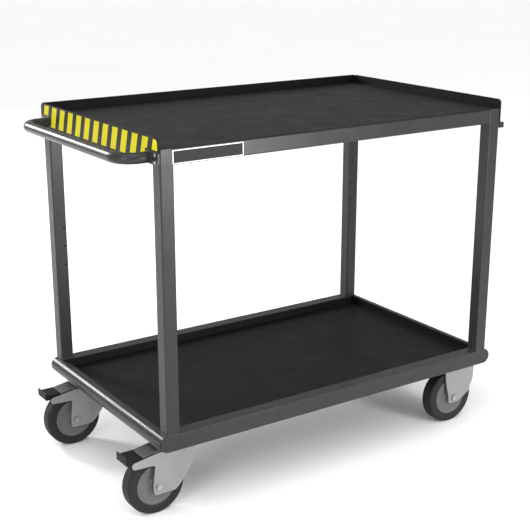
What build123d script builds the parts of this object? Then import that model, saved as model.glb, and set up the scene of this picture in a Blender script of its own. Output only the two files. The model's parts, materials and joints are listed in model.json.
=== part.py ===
from build123d import *
from math import cos, radians, sin, tan
import os

# Two-deck platform truck: a folded lower frame with half-round bumpers, four posts, a flat
# upper deck with low lips, a bent-tube push handle, two braked swivel casters and two fixed ones.
# Millimetres. +X points forwards, away from the handle, +Y to the left and +Z up.
# The origin is on the floor, under the middle of the truck's bounding box.

os.makedirs("parts", exist_ok=True)

# ---- overall sizes ------------------------------------------------------------------------
LENGTH = 1328.0             # over the posts' outer faces
WIDTH = 806.0               # over the posts' outer faces
DECK_HEIGHT = 1176.0        # top of the upper deck
CHASSIS_HEIGHT = 240.0      # underside of the lower frame, which is also the casters' height

# ---- lower frame --------------------------------------------------------------------------
LOWER_RAIL = 53.0           # height of the lower rails and bumpers
SHEET = 3.0                 # folded sheet of the lower frame
BUMPER_OVERHANG = 24.0      # bumper's nose beyond the posts' outer faces
NOSE_REVEAL = 1.5           # how far the side rail's round end stands back from the bumper's nose
BUMPER_SEAM = 2.0           # open seam between the bumper's ends and the side rails' webs
EDGE_ROUND = 1.5            # bend radius along the side rails' outer edges
BUMPER_FLANGE = 11.0        # bumper's top flange inside the posts' outer faces, between the posts
FLANGE_STEP = 1.2           # between the posts the flange lies this much lower than the nose
TRAY_DROP = 28.0            # lower deck's floor below the top of the rails
TRAY_SHEET = 3.0
TRAY_GAP = 0.5              # tray's wall to the rails' inner edges
LOWER_BEAM_WIDTH = 50.0
LOWER_BEAM_WALL = 2.0
LOWER_BEAM_PITCH = 300.0
LOWER_BEAM_COUNT = 3

# ---- posts --------------------------------------------------------------------------------
POST = 45.0                 # square tube, which also sets the rails' width
POST_WALL = 2.5
POST_CORNER = 4.0
SHELF_HOLE = 7.0            # holes in the posts' inner faces for a shelf or a divider
SHELF_HOLE_EDGE = 10.0      # from the post's inner edge
SHELF_HOLE_LOWEST = 644.0   # above the floor
SHELF_HOLE_PITCH = 66.7
SHELF_HOLE_COUNT = 3

# ---- upper frame and deck -----------------------------------------------------------------
UPPER_RAIL = 48.0
DECK_SHEET = 3.0
DECK_SETBACK = 2.0          # deck's open edge behind the right-hand rail's outer face
UPPER_BEAM_WIDTH = 40.0
UPPER_BEAM_HEIGHT = 25.0
UPPER_BEAM_WALL = 2.0
UPPER_BEAM_PITCH = 420.0
UPPER_BEAM_COUNT = 2
LIP_HEIGHT = 29.0           # end plates and side lip above the deck
SIDE_LIP = 5.0              # thickness
END_PLATE = 5.0             # thickness
END_PLATE_CORNER = 14.0

# ---- hazard marking on the rear end plate -------------------------------------------------
FILM = 0.5
FILM_BORDER = 2.5
FILM_FOOT = 7.0             # film's lower edge above the plate's lower edge
STRIPE = 0.3                # thickness of the yellow stripes
STRIPE_WIDTH = 34.5
STRIPE_PITCH = 62.2
STRIPE_COUNT = 13
STRIPE_LEAN = 17.0          # degrees from upright
STRIPE_MARGIN = 1.0

# ---- handle -------------------------------------------------------------------------------
HANDLE_TUBE = 33.7
HANDLE_WALL = 2.6
HANDLE_REACH = 93.0         # bar's centre line beyond the posts' outer faces
HANDLE_ARM_INSET = 53.0     # arm's centre line in from the posts' side faces
HANDLE_DROP = 30.0          # centre line below the deck's top
HANDLE_BEND = 58.0          # radius of the centre line
FLANGE_SHEET = 6.0
FLANGE_WIDTH = 70.0
FLANGE_HEIGHT = 38.0
FLANGE_CORNER = 5.0
NOTCH_GAP = 1.0             # end plate's notch round each flange
SCREW = 6.0                 # handle screws, M6 button head
SCREW_HEAD = 10.5
SCREW_HEAD_HEIGHT = 3.3
SCREW_DOME = 1.6
SCREW_SOCKET = 4.0          # across flats
SCREW_SOCKET_DEPTH = 2.0
SCREW_LENGTH = 16.0
SCREW_PITCH = 20.0
SCREW_EDGE = 16.0           # from the post's side face
HOLE_GAP = 0.1              # on the radius of a screw or bolt hole

# ---- stop lugs under the front end plate --------------------------------------------------
LUG_REACH = 23.0            # beyond the posts' outer faces
LUG_NECK = 5.0
LUG_WIDTH = 30.0
LUG_HEIGHT = 18.0
LUG_STEP = 3.0              # neck narrower than the lug on each side

# ---- casters, all four --------------------------------------------------------------------
CASTER_INSET = 102.0        # wheel's middle plane in from the truck's side face
PLATE_LENGTH = 135.0
PLATE_WIDTH = 125.0
PLATE_SHEET = 5.0
PLATE_CORNER = 10.0
BOLT_SPACING_X = 105.0
BOLT_SPACING_Y = 100.0
BOLT = 10.0
BOLT_HEAD_FLATS = 17.0
BOLT_HEAD_HEIGHT = 6.4
NUT_HEIGHT = 8.0
WASHER = 2.0
WASHER_RADIUS = 10.0
BOLT_TIP = 2.5              # thread past the nut
SEAT_SHEET = 6.0            # doubler plate inside the lower frame over each caster
SEAT_MARGIN = 8.0
FORK_SHEET = 4.0
FORK_WIDTH = 78.0           # over the legs' outer faces
SWIVEL_INSET = 63.0         # swivel axis in from the rear posts' outer faces
TRAIL = 62.0                # axle behind the swivel axis
FIXED_INSET = 84.0          # fixed axle in from the front posts' outer faces
FIXED_PLATE_SHIFT = 16.0    # fixed caster's plate ahead of its axle

# ---- wheels -------------------------------------------------------------------------------
WHEEL_RADIUS = 100.0
TYRE_WIDTH = 50.0
TYRE_SHOULDER = 10.0
TYRE_DEPTH = 32.0           # rubber between the hub and the tread
RIM_WIDTH = 44.0
RIM_LIP = 6.0
WEB_OUTER_WIDTH = 42.0      # hub's web where it meets the rim
WEB_INNER_WIDTH = 38.0      # hub's web where it meets the boss
BOSS_RADIUS = 24.0
BOSS_WIDTH = 54.0
BEARING_RADIUS = 16.0
BEARING_WIDTH = 10.0
BEARING_SHOULDER = 2.0
AXLE = 12.0
AXLE_HEAD_FLATS = 18.0
AXLE_HEAD_HEIGHT = 7.5
AXLE_NUT_HEIGHT = 10.0
AXLE_TIP = 3.0
SPACER_RADIUS = 9.5
RUN_GAP = 0.05              # radial clearance of a shaft that turns
SIDE_GAP = 0.3              # between faces that turn against each other

# ---- swivel head --------------------------------------------------------------------------
CROWN_TOP = 214.0           # above the floor
CROWN_SHEET = 5.0
CROWN_FRONT = 12.0          # crown's edge ahead of the axle
RACE_RADIUS = 34.0          # circle of the balls
RACE_INNER = 25.0
RACE_OUTER = 43.0
RACE_SLIT = 3.0             # open height between the two races
BALL_RADIUS = 4.0
BALL_COUNT = 18
BALL_MID = 226.0            # above the floor
RIM_WALL = 3.0
RIM_GAP = 2.5
RIM_TOP = 229.0
KINGPIN_RADIUS = 8.0
KINGPIN_NUT_FLATS = 24.0
KINGPIN_NUT_HEIGHT = 12.0
KINGPIN_TIP = 1.5

# ---- brake --------------------------------------------------------------------------------
PIN_RADIUS = 4.0
PIN_X = -2.0                # from the axle
PIN_HEIGHT = 207.0          # above the floor
BRAKE_TRAVEL = 6.0          # degrees
LEVER_SHEET = 3.0
LEVER_SIDE_GAP = 2.0        # to the fork's legs
LEVER_REAR = 7.0            # lever's end ahead of the axle
LEVER_REAR_TOP = 221.0
LEVER_MID_TOP = 216.0
PAD_START = -50.0           # from the axle
PAD_LENGTH = 57.0
PAD_TOP = 211.5
PAD_DEPTH = 17.5
PAD_LIP = 9.0
PAD_LIP_THICKNESS = 4.5
PAD_ROUND = 2.0
TONGUE_MARGIN = 6.0         # lever's tongue inside the pad
TONGUE_ROOT = -35.0         # tongue's inner end, in the shoe
TONGUE_DEPTH = 1.5          # below the pad's top
CHEEK_RADIUS = 8.0
SHOE_HALF_WIDTH = 20.0
SHOE_LENGTH = 30.0
SHOE_ANGLE = 17.0           # degrees from upright to the shoe's middle, round the axle
SHOE_GAP = 0.8              # left to the tyre with the brake on


# ---- places worked out from the sizes above -----------------------------------------------
HALF_W = WIDTH / 2
LOWER_RAIL_TOP = CHASSIS_HEIGHT + LOWER_RAIL
LOWER_MID = CHASSIS_HEIGHT + LOWER_RAIL / 2
NOSE_RADIUS = LOWER_RAIL / 2
NOSE_SETBACK = NOSE_RADIUS - BUMPER_OVERHANG    # nose's centre inside the posts' outer faces
TRAY_FLOOR = LOWER_RAIL_TOP - TRAY_DROP
DECK_UNDERSIDE = DECK_HEIGHT - DECK_SHEET
UPPER_RAIL_BOTTOM = DECK_UNDERSIDE - UPPER_RAIL
LIP_TOP = DECK_HEIGHT + LIP_HEIGHT
HANDLE_HEIGHT = DECK_HEIGHT - HANDLE_DROP
CASTER_Y = HALF_W - CASTER_INSET
PLATE_BOTTOM = CHASSIS_HEIGHT - PLATE_SHEET
SEAT_TOP = CHASSIS_HEIGHT + SHEET + SEAT_SHEET
AXLE_HEIGHT = WHEEL_RADIUS
HUB_RADIUS = WHEEL_RADIUS - TYRE_DEPTH
PAD_TIP = PAD_START - PAD_LENGTH

# The handle or a brake pedal reaches furthest back, the bumper or a lug furthest forwards.
REAR_REACH = max(HANDLE_REACH + HANDLE_TUBE / 2, TRAIL - PAD_TIP - SWIVEL_INSET)
FRONT_REACH = max(BUMPER_OVERHANG, LUG_REACH, END_PLATE)
MID_X = (REAR_REACH - FRONT_REACH) / 2          # middle between the posts' outer faces
X_REAR = MID_X - LENGTH / 2
X_FRONT = MID_X + LENGTH / 2

SIDES = ((-1, "right"), (1, "left"))
ENDS = ((-1, "rear", X_REAR), (1, "front", X_FRONT))

SWIVEL_X = X_REAR + SWIVEL_INSET
SWIVEL_AXLE_X = SWIVEL_X - TRAIL
FIXED_AXLE_X = X_FRONT - FIXED_INSET
FIXED_PLATE_X = FIXED_AXLE_X + FIXED_PLATE_SHIFT
PLATE_X = {"rear": SWIVEL_X, "front": FIXED_PLATE_X}


def across(y):
    """Plane of a section across Y: its axes are X and Z."""
    return Plane(origin=(0, y, 0), x_dir=(1, 0, 0), z_dir=(0, -1, 0))


def along(x):
    """Plane of a section along X: its axes are Y and Z."""
    return Plane(origin=(x, 0, 0), x_dir=(0, 1, 0), z_dir=(1, 0, 0))


def wheel_plane(x, y):
    """Plane through a wheel's middle, square to its axle: its axes are X and Z."""
    return Plane(origin=(x, y, AXLE_HEIGHT), x_dir=(1, 0, 0), z_dir=(0, -1, 0))


def block(low, high, mode=Mode.ADD):
    """Box between two corners."""
    middle = [(a + b) / 2 for a, b in zip(low, high)]
    with Locations(tuple(middle)):
        Box(*[abs(b - a) for a, b in zip(low, high)], mode=mode)


def bolt_points(plate_x, side):
    """Centres of one caster plate's four bolts, seen from above."""
    return [(plate_x + i * BOLT_SPACING_X / 2, side * CASTER_Y + j * BOLT_SPACING_Y / 2)
            for i in (-1, 1) for j in (-1, 1)]


ALL_BOLTS = [point for _, end_name, _ in ENDS for side, _ in SIDES
             for point in bolt_points(PLATE_X[end_name], side)]


# ==== lower frame ==========================================================================
# Side rails: a web with half-round ends, and two flanges between the bumpers.
for side, side_name in SIDES:
    with BuildPart() as lower_side_rail:
        with BuildSketch(across(side * (HALF_W - SHEET / 2))):
            with Locations((MID_X, LOWER_MID)):
                SlotOverall(LENGTH + 2 * (BUMPER_OVERHANG - NOSE_REVEAL), LOWER_RAIL)
        extrude(amount=SHEET / 2, both=True)
        outer_face = lower_side_rail.faces().sort_by(Axis.Y)[0 if side < 0 else -1]
        fillet(outer_face.edges(), EDGE_ROUND)
        flange = POST - SHEET
        with BuildSketch(along(MID_X)):
            for z in (CHASSIS_HEIGHT + SHEET / 2, LOWER_RAIL_TOP - SHEET / 2):
                with Locations((side * (HALF_W - SHEET - flange / 2), z)):
                    Rectangle(flange, SHEET)
        extrude(amount=LENGTH / 2 - POST, both=True)
    lower_side_rail.part.label = f"lower_side_rail_{side_name}"
    export_step(lower_side_rail.part, f"parts/lower_side_rail_{side_name}.step")

# Bumper bars: half-round noses with flat flanges, open towards the deck.
for end, end_name, face_x in ENDS:
    nose_x = face_x - end * NOSE_SETBACK
    inner_x = face_x - end * POST
    flange = abs(nose_x - inner_x)
    with BuildPart() as bumper_bar:
        with BuildSketch(across(0)):
            with Locations((nose_x, LOWER_MID)):
                Circle(NOSE_RADIUS)
            with Locations(((nose_x + inner_x) / 2, LOWER_MID)):
                Rectangle(flange, LOWER_RAIL)
            with Locations((nose_x, LOWER_MID)):
                Circle(NOSE_RADIUS - SHEET, mode=Mode.SUBTRACT)
            with Locations(((nose_x + inner_x) / 2, LOWER_MID)):
                Rectangle(flange, LOWER_RAIL - 2 * SHEET, mode=Mode.SUBTRACT)
        extrude(amount=HALF_W - SHEET - BUMPER_SEAM, both=True)
        # Between the posts the top flange steps down and stops short, to make room for the tray.
        block((face_x - end * BUMPER_FLANGE, -(HALF_W - POST), LOWER_RAIL_TOP - SHEET),
              (inner_x, HALF_W - POST, LOWER_RAIL_TOP), Mode.SUBTRACT)
        block((face_x, -(HALF_W - POST), LOWER_RAIL_TOP - FLANGE_STEP),
              (inner_x, HALF_W - POST, LOWER_RAIL_TOP), Mode.SUBTRACT)
        for side, _ in SIDES:
            for x, y in bolt_points(PLATE_X[end_name], side):
                if abs(x - face_x) < POST:
                    with Locations((x, y, CHASSIS_HEIGHT + SHEET / 2)):
                        Cylinder(BOLT / 2 + HOLE_GAP, 2 * SHEET, mode=Mode.SUBTRACT)
    bumper_bar.part.label = f"bumper_bar_{end_name}"
    export_step(bumper_bar.part, f"parts/bumper_bar_{end_name}.step")

# Caster seats: doubler plates on the lower flanges, stepped down to the frame's underside.
with BuildPart() as caster_seats:
    for end, end_name, face_x in ENDS:
        outer_x = face_x - end * NOSE_SETBACK
        inner_x = PLATE_X[end_name] - end * (PLATE_LENGTH / 2 + SEAT_MARGIN)
        for side, _ in SIDES:
            inner_y = side * (CASTER_Y - PLATE_WIDTH / 2 - SEAT_MARGIN)
            block((outer_x, side * (HALF_W - SHEET), CHASSIS_HEIGHT + SHEET),
                  (inner_x, inner_y, SEAT_TOP))
            block((face_x - end * POST, side * (HALF_W - POST), CHASSIS_HEIGHT),
                  (inner_x, inner_y, CHASSIS_HEIGHT + SHEET))
    with Locations(*[(x, y, SEAT_TOP) for x, y in ALL_BOLTS]):
        Cylinder(BOLT / 2 + HOLE_GAP, 4 * SEAT_SHEET, mode=Mode.SUBTRACT)
caster_seats.part.label = "caster_seats"
export_step(caster_seats.part, "parts/caster_seats.step")

# Cross members under the lower deck, standing on the side rails' lower flanges.
beam_low = CHASSIS_HEIGHT + SHEET
beam_high = TRAY_FLOOR - TRAY_SHEET
with BuildPart() as lower_cross_members:
    with BuildSketch(across(0)):
        with Locations((MID_X, (beam_low + beam_high) / 2)):
            with GridLocations(LOWER_BEAM_PITCH, 1, LOWER_BEAM_COUNT, 1):
                Rectangle(LOWER_BEAM_WIDTH, beam_high - beam_low)
                Rectangle(LOWER_BEAM_WIDTH - 2 * LOWER_BEAM_WALL,
                          beam_high - beam_low - 2 * LOWER_BEAM_WALL, mode=Mode.SUBTRACT)
    extrude(amount=HALF_W - SHEET, both=True)
lower_cross_members.part.label = "lower_cross_members"
export_step(lower_cross_members.part, "parts/lower_cross_members.step")

# Lower deck: a shallow tray between the rails, with its rim just under their top.
tray_x = LENGTH / 2 - BUMPER_FLANGE - TRAY_GAP
tray_y = HALF_W - POST - TRAY_GAP
tray_top = LOWER_RAIL_TOP - TRAY_GAP
with BuildPart() as lower_deck:
    block((MID_X - tray_x, -tray_y, TRAY_FLOOR - TRAY_SHEET), (MID_X + tray_x, tray_y, tray_top))
    block((MID_X - tray_x + TRAY_SHEET, -tray_y + TRAY_SHEET, TRAY_FLOOR),
          (MID_X + tray_x - TRAY_SHEET, tray_y - TRAY_SHEET, tray_top), Mode.SUBTRACT)
lower_deck.part.label = "lower_deck"
export_step(lower_deck.part, "parts/lower_deck.step")


# ==== posts and upper frame ================================================================
HANDLE_SCREWS = [(side * (HALF_W - SCREW_EDGE), HANDLE_HEIGHT + i * SCREW_PITCH / 2)
                 for side, _ in SIDES for i in (-1, 1)]

for end, end_name, face_x in ENDS:
    for side, side_name in SIDES:
        with BuildPart() as post:
            with BuildSketch(Plane.XY.offset(LOWER_RAIL_TOP)):
                with Locations((face_x - end * POST / 2, side * (HALF_W - POST / 2))):
                    RectangleRounded(POST, POST, POST_CORNER)
                    RectangleRounded(POST - 2 * POST_WALL, POST - 2 * POST_WALL,
                                     POST_CORNER - POST_WALL, mode=Mode.SUBTRACT)
            extrude(amount=DECK_UNDERSIDE - LOWER_RAIL_TOP)
            hole_x = face_x - end * (POST - SHELF_HOLE_EDGE)
            hole_y = side * (HALF_W - POST + POST_WALL / 2)
            for i in range(SHELF_HOLE_COUNT):
                hole_z = SHELF_HOLE_LOWEST + i * SHELF_HOLE_PITCH
                with Locations(Location((hole_x, hole_y, hole_z), (90, 0, 0))):
                    Cylinder(SHELF_HOLE / 2, 2 * POST_WALL, mode=Mode.SUBTRACT)
            if end_name == "rear":
                for y, z in HANDLE_SCREWS:
                    if y * side > 0:
                        with Locations(Location((face_x + POST_WALL / 2, y, z), (0, 90, 0))):
                            Cylinder(SCREW / 2 + HOLE_GAP, 2 * POST_WALL, mode=Mode.SUBTRACT)
        post.part.label = f"post_{end_name}_{side_name}"
        export_step(post.part, f"parts/post_{end_name}_{side_name}.step")


def rail_section(centre, width, height, wall, corner):
    """Rectangular tube's section with rounded corners, in the current sketch."""
    with Locations(centre):
        RectangleRounded(width, height, corner)
        RectangleRounded(width - 2 * wall, height - 2 * wall, corner - wall, mode=Mode.SUBTRACT)


rail_mid = (DECK_UNDERSIDE + UPPER_RAIL_BOTTOM) / 2

for side, side_name in SIDES:
    with BuildPart() as upper_side_rail:
        with BuildSketch(along(MID_X)):
            rail_section((side * (HALF_W - POST / 2), rail_mid), POST, UPPER_RAIL,
                         POST_WALL, POST_CORNER)
        extrude(amount=LENGTH / 2 - POST, both=True)
    upper_side_rail.part.label = f"upper_side_rail_{side_name}"
    export_step(upper_side_rail.part, f"parts/upper_side_rail_{side_name}.step")

for end, end_name, face_x in ENDS:
    with BuildPart() as upper_end_rail:
        with BuildSketch(across(0)):
            rail_section((face_x - end * POST / 2, rail_mid), POST, UPPER_RAIL,
                         POST_WALL, POST_CORNER)
        extrude(amount=HALF_W - POST, both=True)
    upper_end_rail.part.label = f"upper_end_rail_{end_name}"
    export_step(upper_end_rail.part, f"parts/upper_end_rail_{end_name}.step")

with BuildPart() as upper_cross_members:
    with BuildSketch(across(0)):
        with Locations((MID_X, DECK_UNDERSIDE - UPPER_BEAM_HEIGHT / 2)):
            with GridLocations(UPPER_BEAM_PITCH, 1, UPPER_BEAM_COUNT, 1):
                Rectangle(UPPER_BEAM_WIDTH, UPPER_BEAM_HEIGHT)
                Rectangle(UPPER_BEAM_WIDTH - 2 * UPPER_BEAM_WALL,
                          UPPER_BEAM_HEIGHT - 2 * UPPER_BEAM_WALL, mode=Mode.SUBTRACT)
    extrude(amount=HALF_W - POST, both=True)
upper_cross_members.part.label = "upper_cross_members"
export_step(upper_cross_members.part, "parts/upper_cross_members.step")

with BuildPart() as upper_deck:
    block((X_REAR, -HALF_W + DECK_SETBACK, DECK_UNDERSIDE),
          (X_FRONT, HALF_W - SIDE_LIP, DECK_HEIGHT))
upper_deck.part.label = "upper_deck"
export_step(upper_deck.part, "parts/upper_deck.step")

with BuildPart() as side_lip:
    block((X_REAR, HALF_W - SIDE_LIP, DECK_UNDERSIDE), (X_FRONT, HALF_W, LIP_TOP))
side_lip.part.label = "side_lip_left"
export_step(side_lip.part, "parts/side_lip_left.step")


# ==== end plates and hazard marking ========================================================
NOTCH_Y = HALF_W - FLANGE_WIDTH - NOTCH_GAP
NOTCH_TOP = HANDLE_HEIGHT + FLANGE_HEIGHT / 2 + NOTCH_GAP


def plate_outline(border, foot, notched, mode=Mode.ADD):
    """End plate's outline drawn in by a border, in the current sketch."""
    half = HALF_W - border
    low = UPPER_RAIL_BOTTOM + foot
    high = LIP_TOP - border
    corner = END_PLATE_CORNER - border
    notch_y = NOTCH_Y - border
    notch_z = NOTCH_TOP + border
    with BuildLine(mode=Mode.PRIVATE) as outline:
        foot_points = [(-half, high), (-half, low), (half, low), (half, high)]
        if notched:
            foot_points = [(-half, high), (-half, notch_z), (-notch_y, notch_z), (-notch_y, low),
                           (notch_y, low), (notch_y, notch_z), (half, notch_z), (half, high)]
        Polyline(*foot_points, close=True)
    with BuildSketch(mode=Mode.PRIVATE) as sheet:
        add(outline.line)
        make_face()
        top = sheet.vertices().group_by(Axis.Y)[-1]
        fillet(top, corner)
    add(sheet.sketch, mode=mode)


for end, end_name, face_x in ENDS:
    with BuildPart() as end_plate:
        with BuildSketch(along(face_x + end * END_PLATE / 2)):
            plate_outline(0, 0, end_name == "rear")
        extrude(amount=END_PLATE / 2, both=True)
    end_plate.part.label = f"end_plate_{end_name}"
    export_step(end_plate.part, f"parts/end_plate_{end_name}.step")

film_x = X_REAR - END_PLATE - FILM / 2
with BuildPart() as hazard_film:
    with BuildSketch(along(film_x)):
        plate_outline(FILM_BORDER, FILM_FOOT, True)
    extrude(amount=FILM / 2, both=True)
hazard_film.part.label = "hazard_film"
export_step(hazard_film.part, "parts/hazard_film.step")

stripe_low = UPPER_RAIL_BOTTOM + FILM_FOOT
stripe_shift = (LIP_TOP - stripe_low) * tan(radians(STRIPE_LEAN))
stripe_x = X_REAR - END_PLATE - FILM - STRIPE / 2
with BuildPart() as hazard_stripes:
    with BuildSketch(along(stripe_x)):
        for i in range(STRIPE_COUNT):
            y = (i - (STRIPE_COUNT - 1) / 2) * STRIPE_PITCH
            with BuildLine():
                Polyline((y - STRIPE_WIDTH / 2, stripe_low), (y + STRIPE_WIDTH / 2, stripe_low),
                         (y + STRIPE_WIDTH / 2 - stripe_shift, LIP_TOP),
                         (y - STRIPE_WIDTH / 2 - stripe_shift, LIP_TOP), close=True)
            make_face()
        plate_outline(FILM_BORDER + STRIPE_MARGIN, FILM_FOOT + STRIPE_MARGIN, True,
                      Mode.INTERSECT)
    extrude(amount=STRIPE / 2, both=True)
hazard_stripes.part.label = "hazard_stripes"
export_step(hazard_stripes.part, "parts/hazard_stripes.step")


# ==== handle ===============================================================================
arm_y = HALF_W - HANDLE_ARM_INSET
bar_x = X_REAR - HANDLE_REACH
arm_x = X_REAR - FLANGE_SHEET

with BuildPart() as handle_tube:
    with BuildLine():
        FilletPolyline((arm_x, -arm_y, HANDLE_HEIGHT), (bar_x, -arm_y, HANDLE_HEIGHT),
                       (bar_x, arm_y, HANDLE_HEIGHT), (arm_x, arm_y, HANDLE_HEIGHT),
                       radius=HANDLE_BEND)
    with BuildSketch(Plane(origin=(arm_x, -arm_y, HANDLE_HEIGHT), z_dir=(-1, 0, 0))):
        Circle(HANDLE_TUBE / 2)
        Circle(HANDLE_TUBE / 2 - HANDLE_WALL, mode=Mode.SUBTRACT)
    sweep()
handle_tube.part.label = "handle_tube"
export_step(handle_tube.part, "parts/handle_tube.step")

with BuildPart() as handle_flanges:
    with BuildSketch(along(X_REAR - FLANGE_SHEET / 2)):
        for side, _ in SIDES:
            with Locations((side * (HALF_W - FLANGE_WIDTH / 2), HANDLE_HEIGHT)):
                RectangleRounded(FLANGE_WIDTH, FLANGE_HEIGHT, FLANGE_CORNER)
        with Locations(*HANDLE_SCREWS):
            Circle(SCREW / 2 + HOLE_GAP, mode=Mode.SUBTRACT)
    extrude(amount=FLANGE_SHEET / 2, both=True)
handle_flanges.part.label = "handle_flanges"
export_step(handle_flanges.part, "parts/handle_flanges.step")

head_x = X_REAR - FLANGE_SHEET - SCREW_HEAD_HEIGHT
with BuildPart() as handle_screws:
    with BuildSketch(along(X_REAR - FLANGE_SHEET)):
        with Locations(*HANDLE_SCREWS):
            Circle(SCREW_HEAD / 2)
    extrude(amount=-SCREW_HEAD_HEIGHT)
    fillet(handle_screws.edges().filter_by(GeomType.CIRCLE).group_by(Axis.X)[0], SCREW_DOME)
    with BuildSketch(along(X_REAR - FLANGE_SHEET)):
        with Locations(*HANDLE_SCREWS):
            Circle(SCREW / 2)
    extrude(amount=SCREW_LENGTH)
    with BuildSketch(along(head_x)):
        with Locations(*HANDLE_SCREWS):
            RegularPolygon(SCREW_SOCKET / 2, 6, major_radius=False)
    extrude(amount=SCREW_SOCKET_DEPTH, mode=Mode.SUBTRACT)
handle_screws.part.label = "handle_screws"
export_step(handle_screws.part, "parts/handle_screws.step")


# ==== stop lugs ============================================================================
with BuildPart() as stop_lugs:
    for side, _ in SIDES:
        block((X_FRONT, side * (HALF_W - LUG_STEP), UPPER_RAIL_BOTTOM - LUG_STEP),
              (X_FRONT + LUG_NECK, side * (HALF_W - LUG_WIDTH + LUG_STEP),
               UPPER_RAIL_BOTTOM - LUG_HEIGHT + LUG_STEP))
        block((X_FRONT + LUG_NECK, side * HALF_W, UPPER_RAIL_BOTTOM),
              (X_FRONT + LUG_REACH, side * (HALF_W - LUG_WIDTH), UPPER_RAIL_BOTTOM - LUG_HEIGHT))
stop_lugs.part.label = "stop_lugs"
export_step(stop_lugs.part, "parts/stop_lugs.step")


# ==== caster fasteners =====================================================================
with BuildPart() as caster_bolts:
    with BuildSketch(Plane.XY.offset(PLATE_BOTTOM)):
        with Locations(*ALL_BOLTS):
            RegularPolygon(BOLT_HEAD_FLATS / 2, 6, major_radius=False)
    extrude(amount=-BOLT_HEAD_HEIGHT)
    with BuildSketch(Plane.XY.offset(PLATE_BOTTOM)):
        with Locations(*ALL_BOLTS):
            Circle(BOLT / 2)
    extrude(amount=SEAT_TOP + WASHER + NUT_HEIGHT + BOLT_TIP - PLATE_BOTTOM)
caster_bolts.part.label = "caster_bolts"
export_step(caster_bolts.part, "parts/caster_bolts.step")

with BuildPart() as caster_nuts:
    with BuildSketch(Plane.XY.offset(SEAT_TOP)):
        with Locations(*ALL_BOLTS):
            Circle(WASHER_RADIUS)
            Circle(BOLT / 2, mode=Mode.SUBTRACT)
    extrude(amount=WASHER)
    with BuildSketch(Plane.XY.offset(SEAT_TOP + WASHER)):
        with Locations(*ALL_BOLTS):
            RegularPolygon(BOLT_HEAD_FLATS / 2, 6, major_radius=False)
            Circle(BOLT / 2, mode=Mode.SUBTRACT)
    extrude(amount=NUT_HEIGHT)
caster_nuts.part.label = "caster_nuts"
export_step(caster_nuts.part, "parts/caster_nuts.step")


# ==== wheels ===============================================================================
WHEELS = [(SWIVEL_AXLE_X if end_name == "rear" else FIXED_AXLE_X, side * CASTER_Y,
           f"{end_name}_{side_name}")
          for _, end_name, _ in ENDS for side, side_name in SIDES]

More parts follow.
